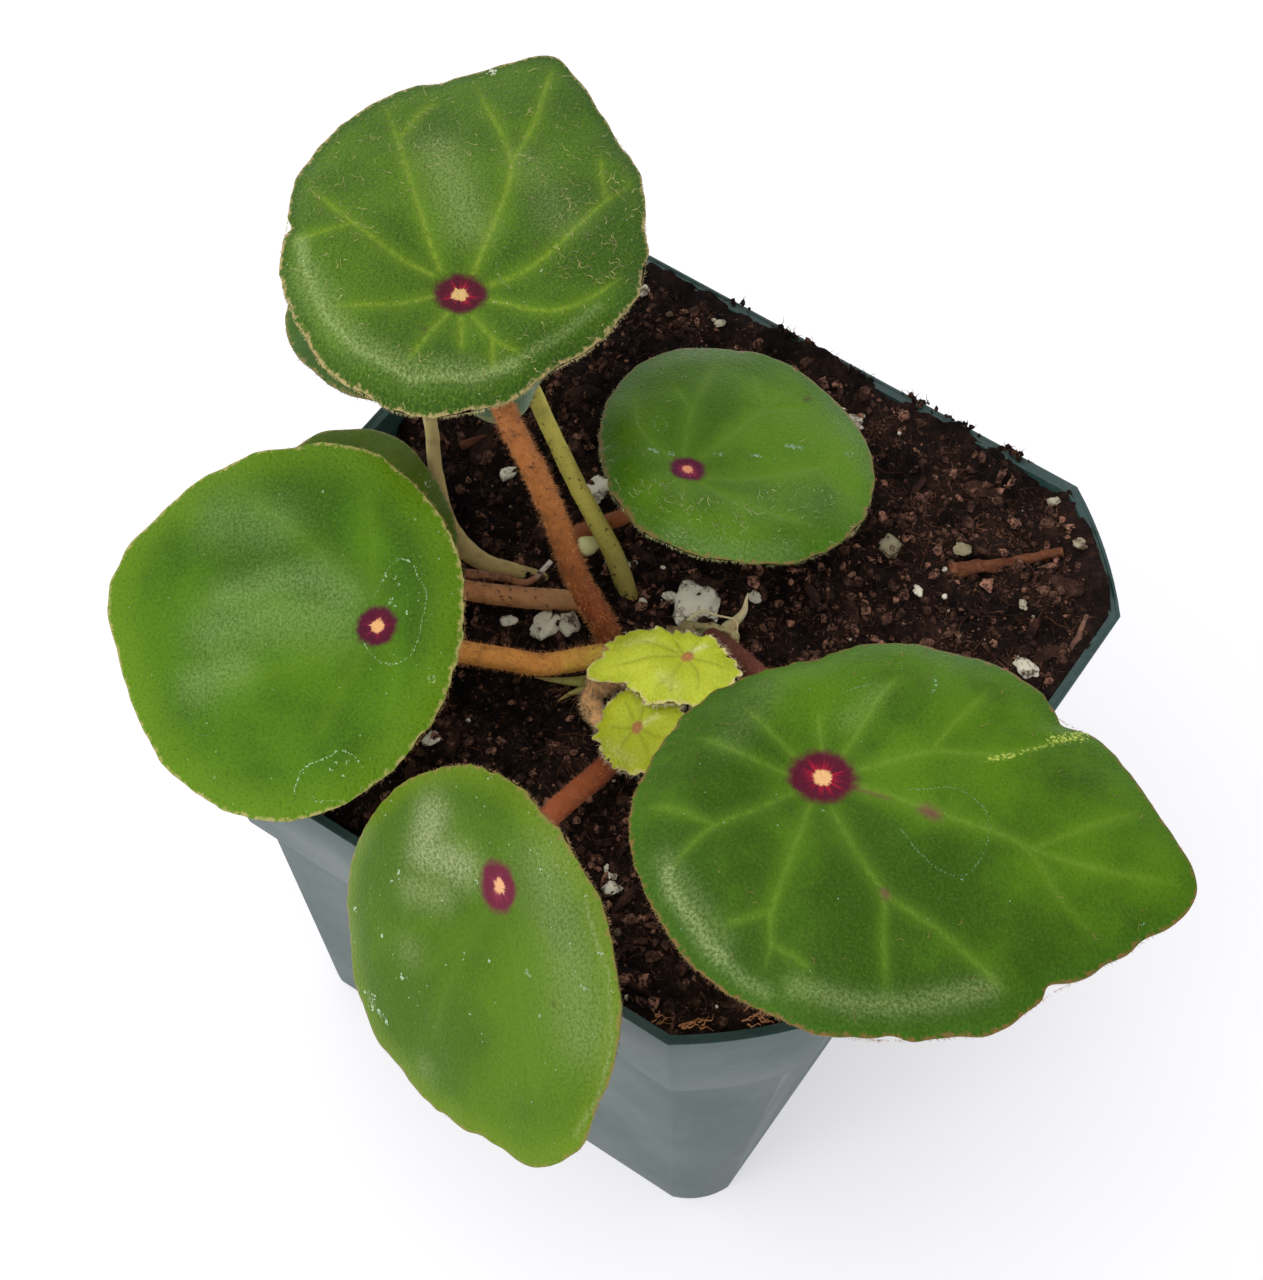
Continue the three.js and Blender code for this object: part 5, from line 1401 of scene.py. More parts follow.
# Right leaf. The largest one, level over the front right of the pot, on a red-brown stalk that stays in its
# shade.
grow_leaf({
    "name": "right",
    "slot": "blade_green",
    "eye": (38, -24.9, 117),
    "fall": 164, "tilt": 4, "heading": 14,
    "cup": 2.5, "cup_radius": 10, "curl_base": 5, "curl_tip": 2.5, "wave": 0.4,
    "outline": [
        (0, 43.5), (11, 38.4), (19, 35.4), (30, 32.1), (36, 29.2), (43, 28.2), (60, 25.6), (82, 21.8),
        (96, 19.7), (120, 17.3), (150, 18.2), (180, 19.4), (210, 22.4), (234, 24.4), (256, 27.7),
        (270, 29.3), (290, 32.5), (308, 34.4), (318, 36.6), (332, 36.9), (348, 40.5), (353, 42.4),
    ],
    "veins": [
        [(-3.7, -1.1), (-8.9, -0.8), (-16, 0.2)],
        [(-2.7, -3.4), (-6.1, -7.9), (-9.4, -10.9), (-11.3, -14.4), (-12.6, -18)],
        [(-9.5, -10.8), (-13.6, -10.2), (-18, -9.8)],
        [(-0.2, -4), (0, -10.4), (0.2, -16.1), (0.2, -19.9), (1.6, -23), (1.9, -27)],
        [(0.1, -19.5), (-4.5, -22.4)], [(1.6, -23), (7, -24.4)],
        [(2.4, -4), (7.1, -9.6), (11.7, -13.6), (12.3, -17.3), (13.9, -21.2), (15.8, -26.6)],
        [(11.7, -13.6), (17.8, -15.4), (22.7, -17.7), (28.4, -20.4)],
        [(3.4, 0.2), (8.6, -0.5), (14.5, -1.5), (20.1, -1.7), (25, -2.4), (29.4, -7.4), (36.5, -10.8)],
        [(25, -2.4), (29, 1.6), (35.6, 7.6)], [(25, -2.4), (32.6, -2.4), (41.5, -0.4)],
        [(3.1, 1.9), (7.5, 4.4), (11.1, 6.8), (15.7, 7.5), (20.7, 10.1), (23.8, 13.1), (27, 15.6)],
        [(11, 7.1), (12.1, 10.9), (15, 18)], [(1.2, 3.6), (2.1, 7.5), (2.9, 12.2), (4.8, 16.6)],
        [(-1.2, 3.2), (-3.4, 8)], [(-4, 1.5), (-7.7, 3.5), (-11.5, 5.7)],
    ],
    "vein_width": (0.42, 1.6), "quilt": 0.06, "uneven": 0.12, "ragged": 0.22, "mesh": (340, 60),
    "margin_hairs": 9, "hair_length": 0.45,
    "curls": [(0, 360, 0.5, 0.97, 70, 1.2)],
    # Painted sheen: strokes where light glances off the blade, in the look's sheen colour.
    "frost": [
        (1, 0.8, [(-12.6, -17.2), (-11.2, -19.5), (-8.2, -22), (-5.5, -24.3), (-3.2, -25.6)]),
        (1.5, 0.32, [(-13.4, -16), (-8.6, -20.4), (-4, -24)]),
        (0.8, 0.45, [(-3.2, -25.6), (-0.4, -27.2), (2.8, -28)]),
        (1.4, 0.46, [(5.6, -26.8), (12.1, -26.6), (17.1, -24.9), (21.9, -22.2), (25.2, -20.3)]),
        (1.5, 0.2, [(2.8, 12.6), (0.7, 7.9)]), (2.2, 0.16, [(-9.3, 9), (-11.3, 0.6)]),
    ],
    "stains": [
        (0.8, 0.8, [(12.5, -1.3), (13.6, -1.7)]), (0.45, 0.7, [(11.3, -13.1), (11.6, -13.5)]),
        (0.35, 0.4, [(3.5, -0.2), (8, -0.8)]),
    ],
    "flecks": [
        (1.3, 1, [(17.4, 7.4), (19.6, 8.9)]), (0.9, 0.96, [(20.4, 9.6), (24, 13)]),
        (2.4, 0.97, [(23.4, 13.2), (26.3, 15.4)]), (1.4, 1, [(24.3, 14), (26.5, 16.4)]),
    ],
    "notches": [(34.5, 2, 0.9), (331, 2.2, 1.0), (301, 2.6, 0.8), (350, 3, 0.3)],
    "lime_lines": [
        (0.06, [(9.7, 0.8), (11.9, 1.3), (14.5, 2.6), (17.4, 1.7), (19.6, 0.1), (20.4, -3.6),
         (19.9, -6.8), (19.1, -8.6), (16.2, -8.7), (13.1, -6.9), (11.3, -5.1), (9.9, -4.2)]),
        (0.06, [(-1.2, 10.9), (0.2, 12.2), (2.1, 13.3)]),
    ],
    "lime_specks": [
        (0.22, [(8.4, 16.2), (8.7, 15.5), (8.6, 14.4)]), (0.15, [(19, -8.9), (1.4, -4.4), (39, -6.4)]),
    ],
    "dust": 40,
    "look": {
        "deep": (48, 80, 3), "light": (78, 116, 8), "drift": (0.001, 0.0055), "dot": (88, 120, 31),
        "edge": (56, 98, 10), "edge_share": 0.5, "edge_reach": 3, "glow": (94, 130, 24), "glow_share": 0.36,
        "vein": (114, 144, 44), "vein_share": 0.4, "frost": (146, 164, 104), "fleck": (178, 192, 84),
        "stain": (112, 54, 62), "lime": (122, 166, 128), "maroon": (84, 16, 38), "crimson": (164, 18, 48),
        "heart": (226, 176, 120), "eye": (3.9, 3.5), "rim": (126, 92, 54), "hair": (170, 132, 84),
        "roughness": 0.34, "specular": 0.1,
    },
    "stalk_slot": "stalk_russet",
    "stalk": (1.5, 1.45, 1.4),
    "route": [
        (6.8, 2.6, 82.4), (12, 0, 86.4), (17.2, -3.4, 91), (25.4, -10.8, 100), (33, -18.8, 109.5),
    ],
    "stalk_hairs": 40, "fuzz_length": 0.5,
    "stalk_look": {
        "foot": (104, 52, 40), "top": (150, 78, 56), "speck": (64, 36, 28), "fuzz": (170, 104, 74),
    },
}, np.random.default_rng(23))

# Middle leaf. A small dark domed leaf over the middle of the pot, whose margin curls under.
grow_leaf({
    "name": "middle",
    "slot": "blade_green",
    "eye": (-4.5, 12.7, 100),
    "fall": 73, "tilt": 13, "heading": 46,
    "cup": 1.4, "cup_radius": 6, "curl_base": 4, "curl_tip": 1.5, "wave": 0.25,
    "outline": [
        (0, 25.8), (24, 26.8), (42, 26.7), (60, 25.9), (90, 21.2), (120, 15.4), (150, 11.5), (180, 10.2),
        (210, 10.3), (240, 11.9), (270, 14), (300, 18.3), (330, 23),
    ],
    "veins": [
        [(0.2, 2.6), (2.3, 8.9), (5.2, 13.5), (9.5, 20.1)], [(2.7, 10.2), (1.6, 14.4)],
        [(2.4, 1.8), (6.8, 4.7), (12.1, 9), (19.4, 14.8)], [(13.1, 9.9), (13.4, 16.8)],
        [(12.3, 9.2), (19.8, 10)],
        [(2.2, -1.6), (6.8, -3.1), (12.5, -2.2), (18.1, -1.2), (20.3, 0.4), (21.8, 4)],
        [(1.2, -2.6), (4.9, -7.4), (9.9, -9.4), (14.6, -11.4)], [(4.9, -7.2), (5, -13.4)],
        [(-1.2, -2.6), (-2.4, -6.8), (-2.2, -10.4)], [(-1.6, 2), (-4.2, 4.6), (-5.1, 9.3), (-3, 14.6)],
    ],
    "vein_width": (0.45, 1.8), "quilt": 0.06, "uneven": 0.08, "ragged": 0.16, "mesh": (260, 44),
    "margin_hairs": 9, "hair_length": 0.45,
    "curls": [(200, 345, 0.3, 0.95, 190, 1.3), (0, 200, 0.4, 0.95, 40, 1.1)],
    # Painted sheen: strokes where light glances off the blade, in the look's sheen colour.
    "frost": [
        (1.8, 0.22, [(-4.5, -10.6), (-0.1, -13.2), (4.6, -14.8), (10.1, -14.4)]),
        (2.6, 0.16, [(23.4, 12.1), (24.6, 5), (24.6, -1.2)]),
        (1.6, 0.2, [(0.2, 18.9), (6.1, 21.3), (13.1, 20.8)]),
        (4, 0.1, [(8.2, -7.7), (13.4, -7.8), (17.7, -5.1)]),
    ],
    "stains": [
        (0.4, 0.7, [(19.3, 11.3), (20, 11.6)]),
    ],
    "flecks": [
        (1.2, 0.95, [(-4.4, 3.2), (-3.6, 2.9)]), (1.1, 0.95, [(4.2, 2), (5.2, 1.7)]),
        (1, 0.95, [(8.6, 0.9), (9.9, 0.8)]), (1.3, 0.97, [(14, 2.4), (16.2, 2)]),
        (1.2, 0.95, [(22.2, 1.3), (23.4, 1)]),
    ],
    "notches": [(60, 3, 0.4), (330, 3, 0.3)],
    "lime_lines": [
        (0.05, [(-2.9, 8.6), (-1.6, 8.5), (-1.2, 7.2), (-1.8, 5.8), (-3.1, 6.3), (-2.9, 8.6)]),
        (0.05, [(4.2, 2.2), (4.8, 1.7), (5.4, 2)]), (0.05, [(8.5, 0.9), (9.2, 0.7), (10.1, 1)]),
        (0.06, [(13.9, 2.5), (14.9, 2.2), (15.7, 2), (16.4, 2.3)]),
        (0.05, [(22.4, 1.6), (23, 1), (22.6, 0.7)]),
    ],
    "lime_specks": [
        (0.2, [(-4.4, 3.3), (-4, 2.9), (-1.8, 2.7), (-1.4, 2.5), (9.3, 0.8), (14.7, 2.2)]),
    ],
    "dust": 25,
    "look": {
        "deep": (62, 98, 8), "light": (88, 127, 17), "drift": (0.003, -0.003), "dot": (104, 132, 47),
        "dots": 0.18, "edge": (50, 98, 16), "edge_share": 0.35, "edge_reach": 3, "glow": (92, 128, 29),
        "glow_share": 0.42, "vein": (112, 144, 44), "vein_share": 0.3, "frost": (140, 160, 118),
        "fleck": (132, 164, 134), "stain": (60, 30, 34), "lime": (150, 178, 156), "maroon": (84, 20, 48),
        "crimson": (150, 40, 74), "heart": (226, 150, 110), "eye": (2.4, 2.1), "rim": (134, 104, 66),
        "under": (90, 120, 64), "hair": (186, 190, 128), "roughness": 0.36, "specular": 0.11,
    },
    "stalk_slot": "stalk_russet",
    "stalk": (1.15, 1.075, 1),
    "route": [
        (-19.6, 5.4, 79.4), (-16.9, 6.8, 82.3), (-14.2, 8, 85), (-11, 9.5, 88.4), (-6.6, 11.9, 95.5),
    ],
    "stalk_hairs": 40, "fuzz_length": 0.5,
    "stalk_look": {
        "foot": (150, 86, 48), "top": (120, 110, 50), "speck": (84, 50, 34), "fuzz": (190, 124, 80),
        "turn": (0.5, 0.9),
    },
}, np.random.default_rng(24))

# Left back leaf. A dark olive leaf that lies low behind the left one, on an old brown stalk.
grow_leaf({
    "name": "left_back",
    "slot": "blade_olive",
    "eye": (-33.2, -17.1, 91.5),
    "fall": 180, "tilt": 5, "heading": 202,
    "cup": 1.2, "cup_radius": 5, "curl_base": 1.5, "curl_tip": 1, "wave": 0.2,
    "outline": [
        (0, 15), (25, 13.2), (60, 12.7), (100, 12.7), (140, 11.6), (180, 10.8), (200, 11.1), (220, 11.7),
        (240, 13.3), (260, 16.2), (280, 20.6), (300, 22.3), (320, 21.3), (340, 17.5),
    ],
    "spokes": (0, 45, 90, 140, 190, 240, 285, 325),
    "vein_width": (0.4, 1.6), "quilt": 0.04, "uneven": 0.1, "ragged": 0.1, "mesh": (160, 28),
    "margin_hairs": 4, "hair_length": 0.6,
    "lime_lines": [
        (0.09, [(-4.1, -12), (-4.8, -12.7), (-4.1, -13.4), (-3.4, -12.7), (-4.1, -12)]),
    ],
    "dust": 20,
    "look": {
        "deep": (64, 86, 9), "light": (86, 108, 13), "dot": (92, 110, 60), "edge": (74, 100, 30),
        "edge_share": 0.3, "edge_reach": 3, "glow": (84, 112, 30), "glow_share": 0.3, "vein": (92, 118, 34),
        "vein_share": 0.2, "maroon": (88, 26, 48), "crimson": (130, 30, 60), "heart": (200, 170, 110),
        "eye": (2, 1.9), "rim": (140, 124, 76), "under": (90, 110, 60), "hair": (160, 126, 80),
        "roughness": 0.38, "specular": 0.1, "pebble": 0.1,
    },
    "stalk_slot": "stalk_russet",
    "stalk": (1.5, 1.4, 1.3),
    "route": [
        (-10.2, -0.8, 80.4), (-13.8, -3.8, 81.6), (-17.5, -6.7, 82.6), (-23.3, -10.7, 84.2),
        (-29, -14.2, 86.6),
    ],
    "stalk_hairs": 20, "fuzz_length": 0.5,
    "stalk_look": {
        "foot": (188, 138, 92), "top": (208, 140, 86), "speck": (80, 56, 40), "fuzz": (170, 110, 70),
        "turn": (0.1, 0.6), "speckled": (0.56, 0.7),
    },
}, np.random.default_rng(25))

# Top back leaf. A small leaf tucked under the top one, on a long pale stalk that lies on the mix first.
grow_leaf({
    "name": "top_back",
    "slot": "blade_green",
    "eye": (-43.8, 4.7, 112),
    "fall": 190, "tilt": 8, "heading": 221,
    "cup": 1.2, "cup_radius": 5, "curl_base": 1.5, "curl_tip": 1, "wave": 0.25,
    "outline": [
        (0, 15.1), (40, 14.2), (63, 14.8), (80, 14.7), (100, 13.8), (120, 11.3), (150, 9), (200, 8.5),
        (240, 10.3), (280, 12.9), (300, 14), (330, 14.9),
    ],
    "spokes": (0, 50, 105, 160, 210, 260, 312),
    "vein_width": (0.4, 1.6), "quilt": 0.04, "uneven": 0.1, "ragged": 0.1, "mesh": (150, 24),
    "margin_hairs": 4, "hair_length": 0.6,
    "look": {
        "deep": (50, 80, 22), "light": (66, 100, 30), "dot": (96, 124, 64), "edge": (64, 100, 30),
        "edge_share": 0.3, "edge_reach": 3, "glow": (86, 116, 32), "glow_share": 0.4, "vein": (96, 124, 40),
        "vein_share": 0.3, "maroon": (88, 20, 42), "crimson": (150, 24, 60), "heart": (206, 174, 112),
        "eye": (1.9, 1.8), "rim": (140, 124, 76), "under": (90, 110, 60), "hair": (160, 126, 80),
        "roughness": 0.4, "specular": 0.18, "pebble": 0.1,
    },
    "stalk_slot": "stalk_pale",
    "stalk": (0.85, 1.5, 0.95, 0.85), "stalk_at": (0, 0.3, 0.5, 1),
    "route": [
        (-17.8, -0.2, 78.8), (-21.1, -2.8, 81), (-24.6, -4.9, 82.6), (-30.6, -4.2, 83.8),
        (-36.2, 0.4, 86.6), (-38.4, 2.6, 94), (-40.8, 3.6, 104),
    ],
    "stalk_look": {
        "foot": (188, 166, 106), "top": (220, 200, 136), "speck": (104, 82, 56),
        "turn": (0.3, 0.7), "speckled": (0.68, 0.8),
    },
}, np.random.default_rng(26))

# Leaf under the top one. A small greyish leaf of which little shows, on a pale speckled stalk.
grow_leaf({
    "name": "top_under",
    "slot": "blade_olive",
    "eye": (-32.2, 12.2, 106),
    "fall": 100, "tilt": 12, "heading": 67,
    "cup": 0.7, "cup_radius": 3.5, "curl_base": 1.5, "curl_tip": 1, "wave": 0.15,
    "outline": [
        (0, 6.2), (20, 7.7), (50, 9.9), (80, 9.5), (120, 7.6), (150, 7.6), (180, 8.7), (205, 11.4),
        (222, 13.7), (240, 13.8), (260, 8.6), (285, 6.3), (330, 5.5),
    ],
    "spokes": (0, 60, 120, 180, 240, 300),
    "vein_width": (0.3, 1.2), "quilt": 0.04, "uneven": 0.08, "ragged": 0.1, "mesh": (130, 20),
    "margin_hairs": 4, "hair_length": 0.5,
    "look": {
        "deep": (92, 118, 92), "light": (118, 142, 114), "mottle": 0.2, "dot": (160, 176, 150), "dots": 0.2,
        "edge": (120, 146, 110), "edge_share": 0.3, "edge_reach": 2, "glow": (130, 156, 110),
        "glow_share": 0.3, "vein": (140, 160, 110), "vein_share": 0.2, "frost": (150, 160, 130),
        "maroon": (88, 40, 52), "crimson": (130, 50, 70), "heart": (200, 176, 124), "eye": (1.2, 1.1),
        "rim": (150, 150, 110), "under": (110, 130, 96), "hair": (170, 150, 110), "roughness": 0.45,
        "specular": 0.22, "pebble": 0.1,
    },
    "stalk_slot": "stalk_pale",
    "stalk": (1.4, 1.225, 1.05),
    "route": [
        (-6.5, 3.4, 78.6), (-10.2, 5, 84), (-17.6, 6.9, 92), (-24, 8.9, 99), (-29.4, 11.4, 102.5),
    ],
    "stalk_hairs": 12, "fuzz_length": 0.4,
    "stalk_look": {
        "foot": (150, 136, 64), "top": (204, 192, 88), "speck": (84, 72, 44), "fuzz": (180, 170, 110),
        "turn": (0.05, 0.4), "speckled": (0.58, 0.7),
    },
}, np.random.default_rng(27))

# Upper young leaf. Freshly unfolded, chartreuse and thin, with a ragged pale margin and brown veins.
grow_leaf({
    "name": "young_upper",
    "slot": "blade_young",
    "eye": (9.6, -8.2, 94.8),
    "fall": 200, "tilt": 16, "heading": 216,
    "cup": 0.6, "cup_radius": 3.5, "curl_base": 1.2, "curl_tip": 1.4, "wave": 0.35,
    "outline": [
        (0, 13.4), (12, 8.9), (40, 7.8), (80, 6.6), (100, 7.5), (125, 7.4), (155, 7.2), (180, 5),
        (210, 4.4), (250, 4.2), (285, 5), (305, 6.7), (330, 11.1), (348, 11.7),
    ],
    "veins": [
        [(1, -0.4), (4.7, -0.8), (6.9, -0.2), (10.6, -0.4)],
        [(0.8, 0.7), (2, 2.7), (3.4, 3.4), (4.6, 4.4)], [(2, 2.6), (2.3, 5.6)],
        [(-0.5, 1), (-1.5, 3.1), (-1.2, 6.2)], [(-0.9, 0.5), (-3.8, 2), (-5.2, 3.2)],
        [(0.6, -0.9), (1.6, -3)], [(1.2, -0.9), (3.6, -2.5), (6.4, -3.8)], [(-0.4, -0.8), (-1.7, -2.7)],
    ],
    "vein_width": (0.2, 0.7), "quilt": 0.14, "uneven": 0.12, "ragged": 0.45, "mesh": (200, 28),
    "margin_hairs": 14, "hair_length": 0.8,
    # Painted sheen: strokes where light glances off the blade, in the look's sheen colour.
    "frost": [
        (0.45, 0.7, [(-0.4, -0.6), (-2.3, -1.1)]), (0.9, 0.25, [(1.6, 4.4), (3.4, 2.4)]),
        (0.8, 0.25, [(7.6, -3.4), (4.4, -3.4)]),
    ],
    "look": {
        "deep": (164, 174, 26), "light": (196, 206, 54), "mottle": 0.25, "dot": (212, 214, 96), "dots": 0.2,
        "edge": (190, 204, 44), "edge_share": 0.4, "edge_reach": 1.6, "glow": (150, 168, 44),
        "glow_share": 0.2, "vein": (138, 122, 36), "vein_share": 0.5, "frost": (226, 222, 170),
        "stain": (110, 60, 40), "maroon": (166, 124, 62), "crimson": (160, 84, 56), "heart": (184, 120, 70),
        "eye": (0.9, 0.8), "rim": (224, 204, 148), "under": (150, 164, 60), "hair": (226, 206, 170),
        "roughness": 0.4, "specular": 0.22,
    },
    "stalk_slot": "stalk_pale",
    "stalk": (1, 0.925, 0.85),
    "route": [
        (4.6, -3.4, 82.6), (6.6, -4.6, 86.6),
    ],
    "stalk_hairs": 60, "fuzz_length": 0.6,
    "stalk_look": {
        "foot": (150, 120, 70), "top": (170, 150, 70), "speck": (110, 80, 50), "fuzz": (214, 180, 130),
    },
}, np.random.default_rng(28))

# Lower young leaf. Just like the upper one but smaller, on a short curled stalk covered in orange wool.
grow_leaf({
    "name": "young_lower",
    "slot": "blade_young",
    "eye": (8.6, -17.8, 89.6),
    "fall": 235, "tilt": 26, "heading": 276,
    "cup": 0.5, "cup_radius": 3, "curl_base": 1, "curl_tip": 1, "wave": 0.25,
    "outline": [
        (0, 5.8), (40, 6.2), (80, 5.7), (120, 6.3), (150, 5.8), (180, 4.6), (210, 5.3), (240, 6.1),
        (270, 5.8), (300, 5.9), (335, 5.7),
    ],
    "veins": [
        [(0.4, -0.7), (1.5, -4)], [(0.9, -0.5), (2.7, -0.8), (4.9, -0.7)], [(0.7, 0.7), (2.8, 3.4)],
        [(0.1, 1), (0.3, 4)], [(-1, -0.2), (-3, -0.6)], [(-0.8, -1), (-2.6, -3.4)],
    ],
    "vein_width": (0.2, 0.7), "quilt": 0.14, "uneven": 0.12, "ragged": 0.4, "mesh": (180, 26),
    "margin_hairs": 14, "hair_length": 0.8,
    # Painted sheen: strokes where light glances off the blade, in the look's sheen colour.
    "frost": [
        (0.45, 0.6, [(-0.6, 0.5), (-2.2, 2)]), (0.9, 0.25, [(3.6, -2.6), (4.4, 1.2)]),
    ],
    "look": {
        "deep": (162, 172, 20), "light": (192, 202, 44), "mottle": 0.25, "dot": (206, 210, 90), "dots": 0.2,
        "edge": (186, 200, 40), "edge_share": 0.4, "edge_reach": 1.4, "glow": (150, 168, 44),
        "glow_share": 0.2, "vein": (138, 122, 36), "vein_share": 0.5, "frost": (222, 220, 160),
        "stain": (110, 60, 40), "maroon": (166, 124, 62), "crimson": (160, 84, 56), "heart": (184, 120, 70),
        "eye": (0.9, 0.8), "rim": (224, 204, 148), "under": (150, 164, 60), "hair": (226, 206, 170),
        "roughness": 0.4, "specular": 0.22,
    },
    "stalk_slot": "stalk_russet",
    "stalk": (1.3, 1.1, 0.9),
    "route": [
        (0.6, -8.4, 81.4), (-1.3, -11.6, 82), (-0.8, -14.4, 82.8), (1.6, -16.4, 83.6), (5, -17.2, 85),
    ],
    "stalk_hairs": 260, "fuzz_length": 0.8,
    "stalk_look": {
        "foot": (248, 192, 126), "top": (250, 206, 146), "speck": (190, 120, 70), "fuzz": (252, 214, 160),
        "speckled": (0.7, 0.85),
    },
}, np.random.default_rng(29))

# Rhizome. The short creeping stem on the mix that all the stalks grow from, ringed by old leaf scars, with
# pale pointed stipules where the newest leaves came out of it.
RHIZOME_RADIUS = 2.4
RHIZOME_END = 0.45
SCAR_COUNT = 7
SCAR_DEPTH = 0.09
RHIZOME_ROUTE = [(-4.5, -9.2, 79.4), (-1, -8, 80.4), (3, -6.2, 81), (4.4, -1, 80.8), (8.4, 5.6, 80)]
RHIZOME_LOOK = {
    "foot": (112, 104, 62), "top": (150, 146, 92), "speck": (92, 62, 44),
    "turn": (0.2, 0.7), "speckled": (0.55, 0.7),
}
PALE_STIPULE = {
    "foot": (206, 200, 150), "top": (240, 222, 180), "speck": (200, 140, 80),
    "turn": (0.3, 0.9), "speckled": (0.75, 0.95),
}
OLIVE_STIPULE = {
    "foot": (158, 158, 84), "top": (176, 140, 84), "speck": (116, 76, 44),
    "turn": (0.4, 0.9), "speckled": (0.55, 0.75),
}
STIPULES = [
    ([(7.4, 5.2, 81.8), (8.7, 7, 84.6), (8.7, 7.9, 88.4)], 0.85, PALE_STIPULE),
    ([(-2.6, -12, 82.2), (-5.6, -14.6, 83.2), (-8.8, -15.8, 82.6)], 0.8, OLIVE_STIPULE),
    ([(-1.8, -12.2, 82), (-3.4, -14.8, 82.4), (-4.6, -16.4, 81.4)], 0.7, OLIVE_STIPULE),
]
SHEATH_ROUTE = [(1.4, 0.8, 81.4), (3.6, 2.4, 82.8), (6.4, 4, 82.8), (8.8, 5, 82.4), (9.6, 4.6, 81.2)]
SHEATH_RADIUS = 0.95
SHEATH_LOOK = {
    "foot": (140, 130, 84), "top": (190, 178, 124), "speck": (112, 78, 48),
    "turn": (0.2, 0.8), "speckled": (0.5, 0.7),
}
THREAD_ROUTE = [(3.1, 2.4, 83.8), (4.2, 4, 84.9), (6.4, 4.8, 84.8), (8.6, 5.8, 84.2), (9.4, 4.8, 83.2)]
THREAD_RADIUS = 0.22
BUD = (-15.2, 6, 81.8)
BUD_SIZE = (1.8, 1.5, 1.4)
BUD_GREEN = (228, 226, 160)
ROOTLET_COUNT = 22


def rhizome_radius(s):
    """Radius of the rhizome, swollen between its scars and drawn in at its ends."""
    ends = min(1, RHIZOME_END + 6 * min(s, 1 - s))
    return RHIZOME_RADIUS * ends * (1 + SCAR_DEPTH * math.cos(2 * math.pi * SCAR_COUNT * s))


def sheath_radius(s):
    """Radius of the dry sheath, shrivelled in rings and thinner towards its end."""
    return SHEATH_RADIUS * (0.75 + 0.25 * math.cos(22 * s)) * (1 - 0.3 * s)


rhizome = tube("rhizome_stem", RHIZOME_ROUTE, rhizome_radius, 30, 0.35, 0.16, 4)
dress(rhizome, stalk_skin("rhizome", RHIZOME_LOOK), ["rhizome"])
for k, (route, radius, look) in enumerate(STIPULES):
    name = "stipule_%d" % (k + 1)
    stipule = tube(name, route, lambda s: radius * max(0.06, (1 - s) ** 0.8), 12, 0.3, 0.25, 5 + k)
    dress(stipule, stalk_skin(name, look))
sheath = tube("bud_sheath", SHEATH_ROUTE, sheath_radius, 16, 0.3, 0.6, 21)
dress(sheath, stalk_skin("bud_sheath", SHEATH_LOOK))
thread = tube("sheath_thread", THREAD_ROUTE, lambda s: THREAD_RADIUS * (1 - 0.6 * s), 6, 0.3, 0.1, 22)
dress(thread, stalk_skin("sheath_thread", PALE_STIPULE))
bud = lumps_piece("bud", rng, 3, [BUD], [BUD_SIZE], random_turns(rng, 1, 0.3), 0.03)
smoothed(bud)
material, _, shader = finish("bud_skin", 0.3, 0.5)
shader.inputs["Base Color"].default_value = tone(BUD_GREEN)
dress(bud, material)
roots = rng.normal(0, 0.9, (ROOTLET_COUNT, 3)) * (1.8, 0.7, 0.4) + (-2.2, -14.4, 81.8)
ways = rng.normal(0, 0.5, (ROOTLET_COUNT, 3)) + (-0.4, -1, -0.3)
lots = [strands(rng, roots, ways, rng.uniform(1.6, 3.6, ROOTLET_COUNT), 0.09, 0.4, 0.12, 5)]
rootlets = strands_piece("rootlets", lots)
dress(rootlets, hair_skin("rootlets", (120, 84, 50)))

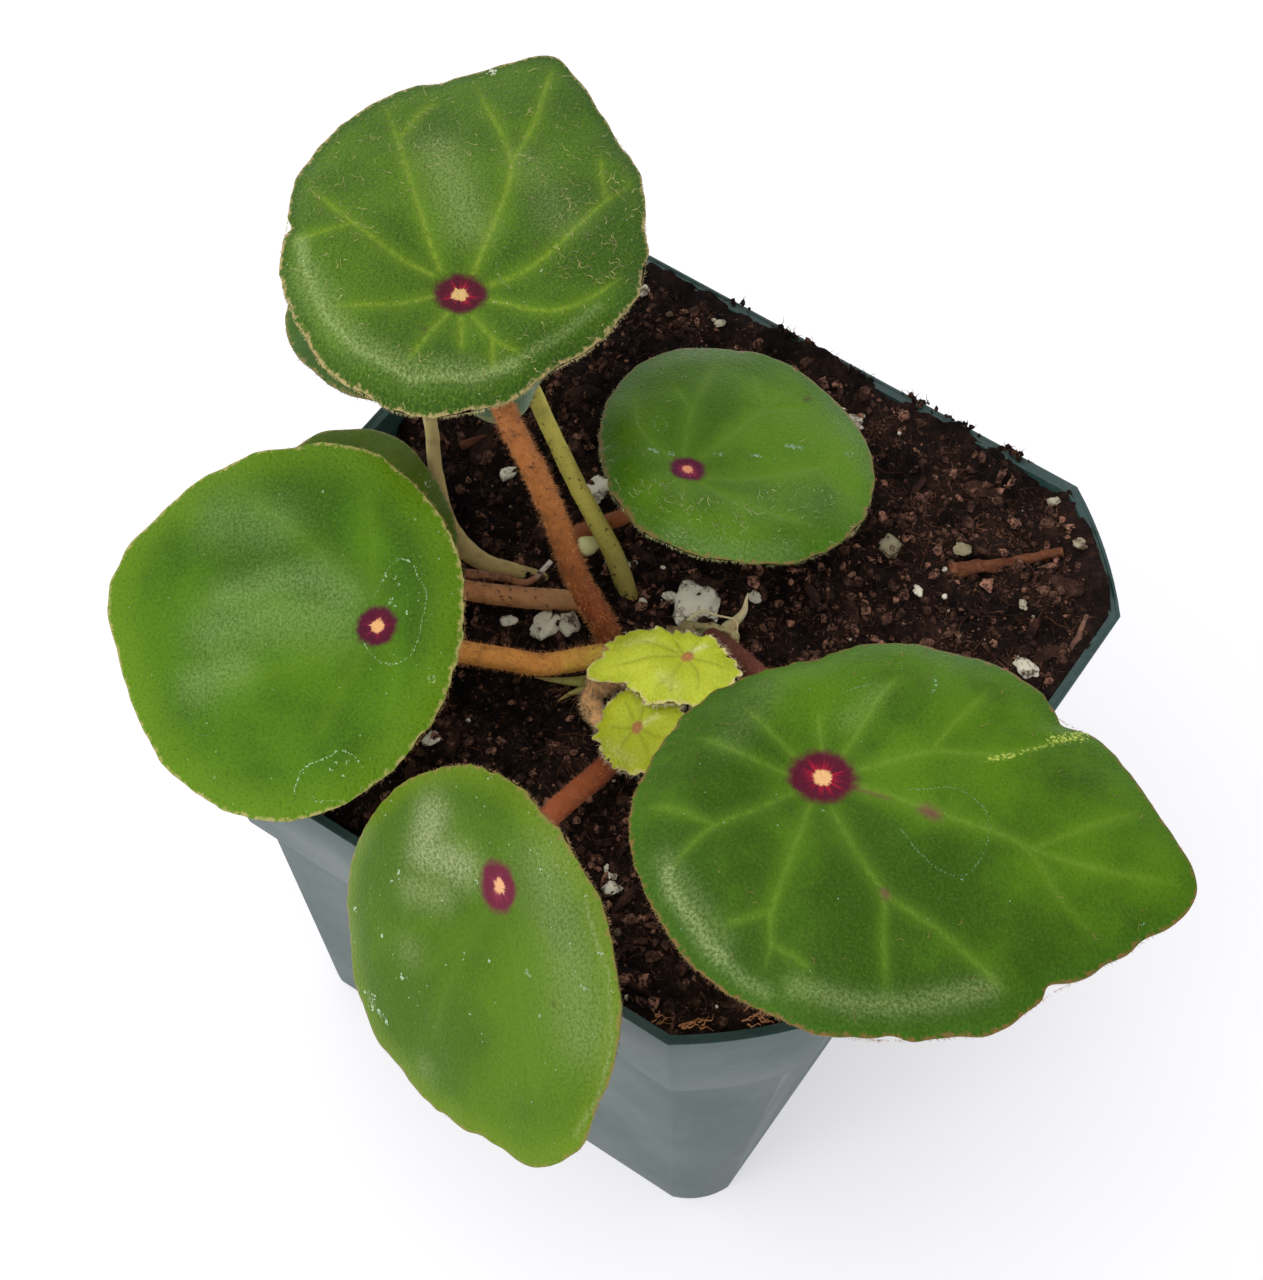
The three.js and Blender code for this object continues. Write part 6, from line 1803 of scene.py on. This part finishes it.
# Loose pieces on the mix. A stick of bark, thicker at its broken end, a short twig, a strip of bark at the
# right wall, curls of bark along the front rim, and a dry papery stipule that lies over the old stalks.
LOOSE = [
    ("stick", [(27.1, 29.9, 82.6), (32.4, 34, 83.6), (38.5, 39.9, 84.9)], 1.1, (88, 48, 32), (186, 124, 88)),
    ("twig", [(-39, 9.4, 81.4), (-37.4, 11.6, 82), (-35.8, 14.6, 81.8)], 0.6, (84, 50, 36), (150, 100, 74)),
    ("bark_strip", [(47.2, 25.6, 83), (47, 29, 84), (46.2, 33, 84.6)], 0.75, (90, 60, 50), (190, 146, 122)),
]
DRY_STIPULE_ROUTE = [(-23.8, -10.2, 87.2), (-20.1, -7.5, 86.2), (-16.9, -5.4, 85.2), (-15.7, -2, 87)]
DRY_STIPULE_RADIUS = 0.55
DRY_STIPULE_LOOK = {
    "foot": (142, 92, 60), "top": (214, 204, 190), "speck": (60, 38, 30),
    "turn": (0.75, 0.95), "speckled": (0.5, 0.7),
}
CURL_SPOTS = [
    (31.6, -47, 82.8), (34.9, -47.4, 85.4), (36.3, -46, 85.4), (40.8, -41.7, 85.4), (41.9, -40.7, 85.4),
]
CURLS_EACH = 5
CURL_RADIUS = 0.15

for name, route, radius, dark, light in LOOSE:
    piece = tube(name, route, lambda s: radius * (1 - 0.5 * s), 14, 0.3, 0.5, 9)
    dress(piece, peat(name + "_bark", dark, light, 1200), ["bark_stick"] if name == "stick" else [])
papery = tube(
    "papery_stipule", DRY_STIPULE_ROUTE, lambda s: DRY_STIPULE_RADIUS * (1.2 - 0.6 * s), 10, 0.25, 0.5, 12,
)
dress(papery, stalk_skin("papery", DRY_STIPULE_LOOK), ["dry_stipule"])
spots = np.repeat(np.array(CURL_SPOTS), CURLS_EACH, 0)
roots = spots + rng.normal(0, 1, spots.shape).clip(-1.4, 1.4) * (0.5, 0.5, 0.15)
ways = rng.normal(0, 1, spots.shape) * (0.35, 0.35, 0.15) + (0.7, 0.8, 0)
lots = [strands(rng, roots, ways, rng.uniform(0.9, 2.2, len(spots)), CURL_RADIUS, 0.45, 0.18, 6)]
bark_curls = strands_piece("bark_curls", lots)
dress(bark_curls, peat("bark_curl", (168, 108, 70), (240, 184, 136), 900))
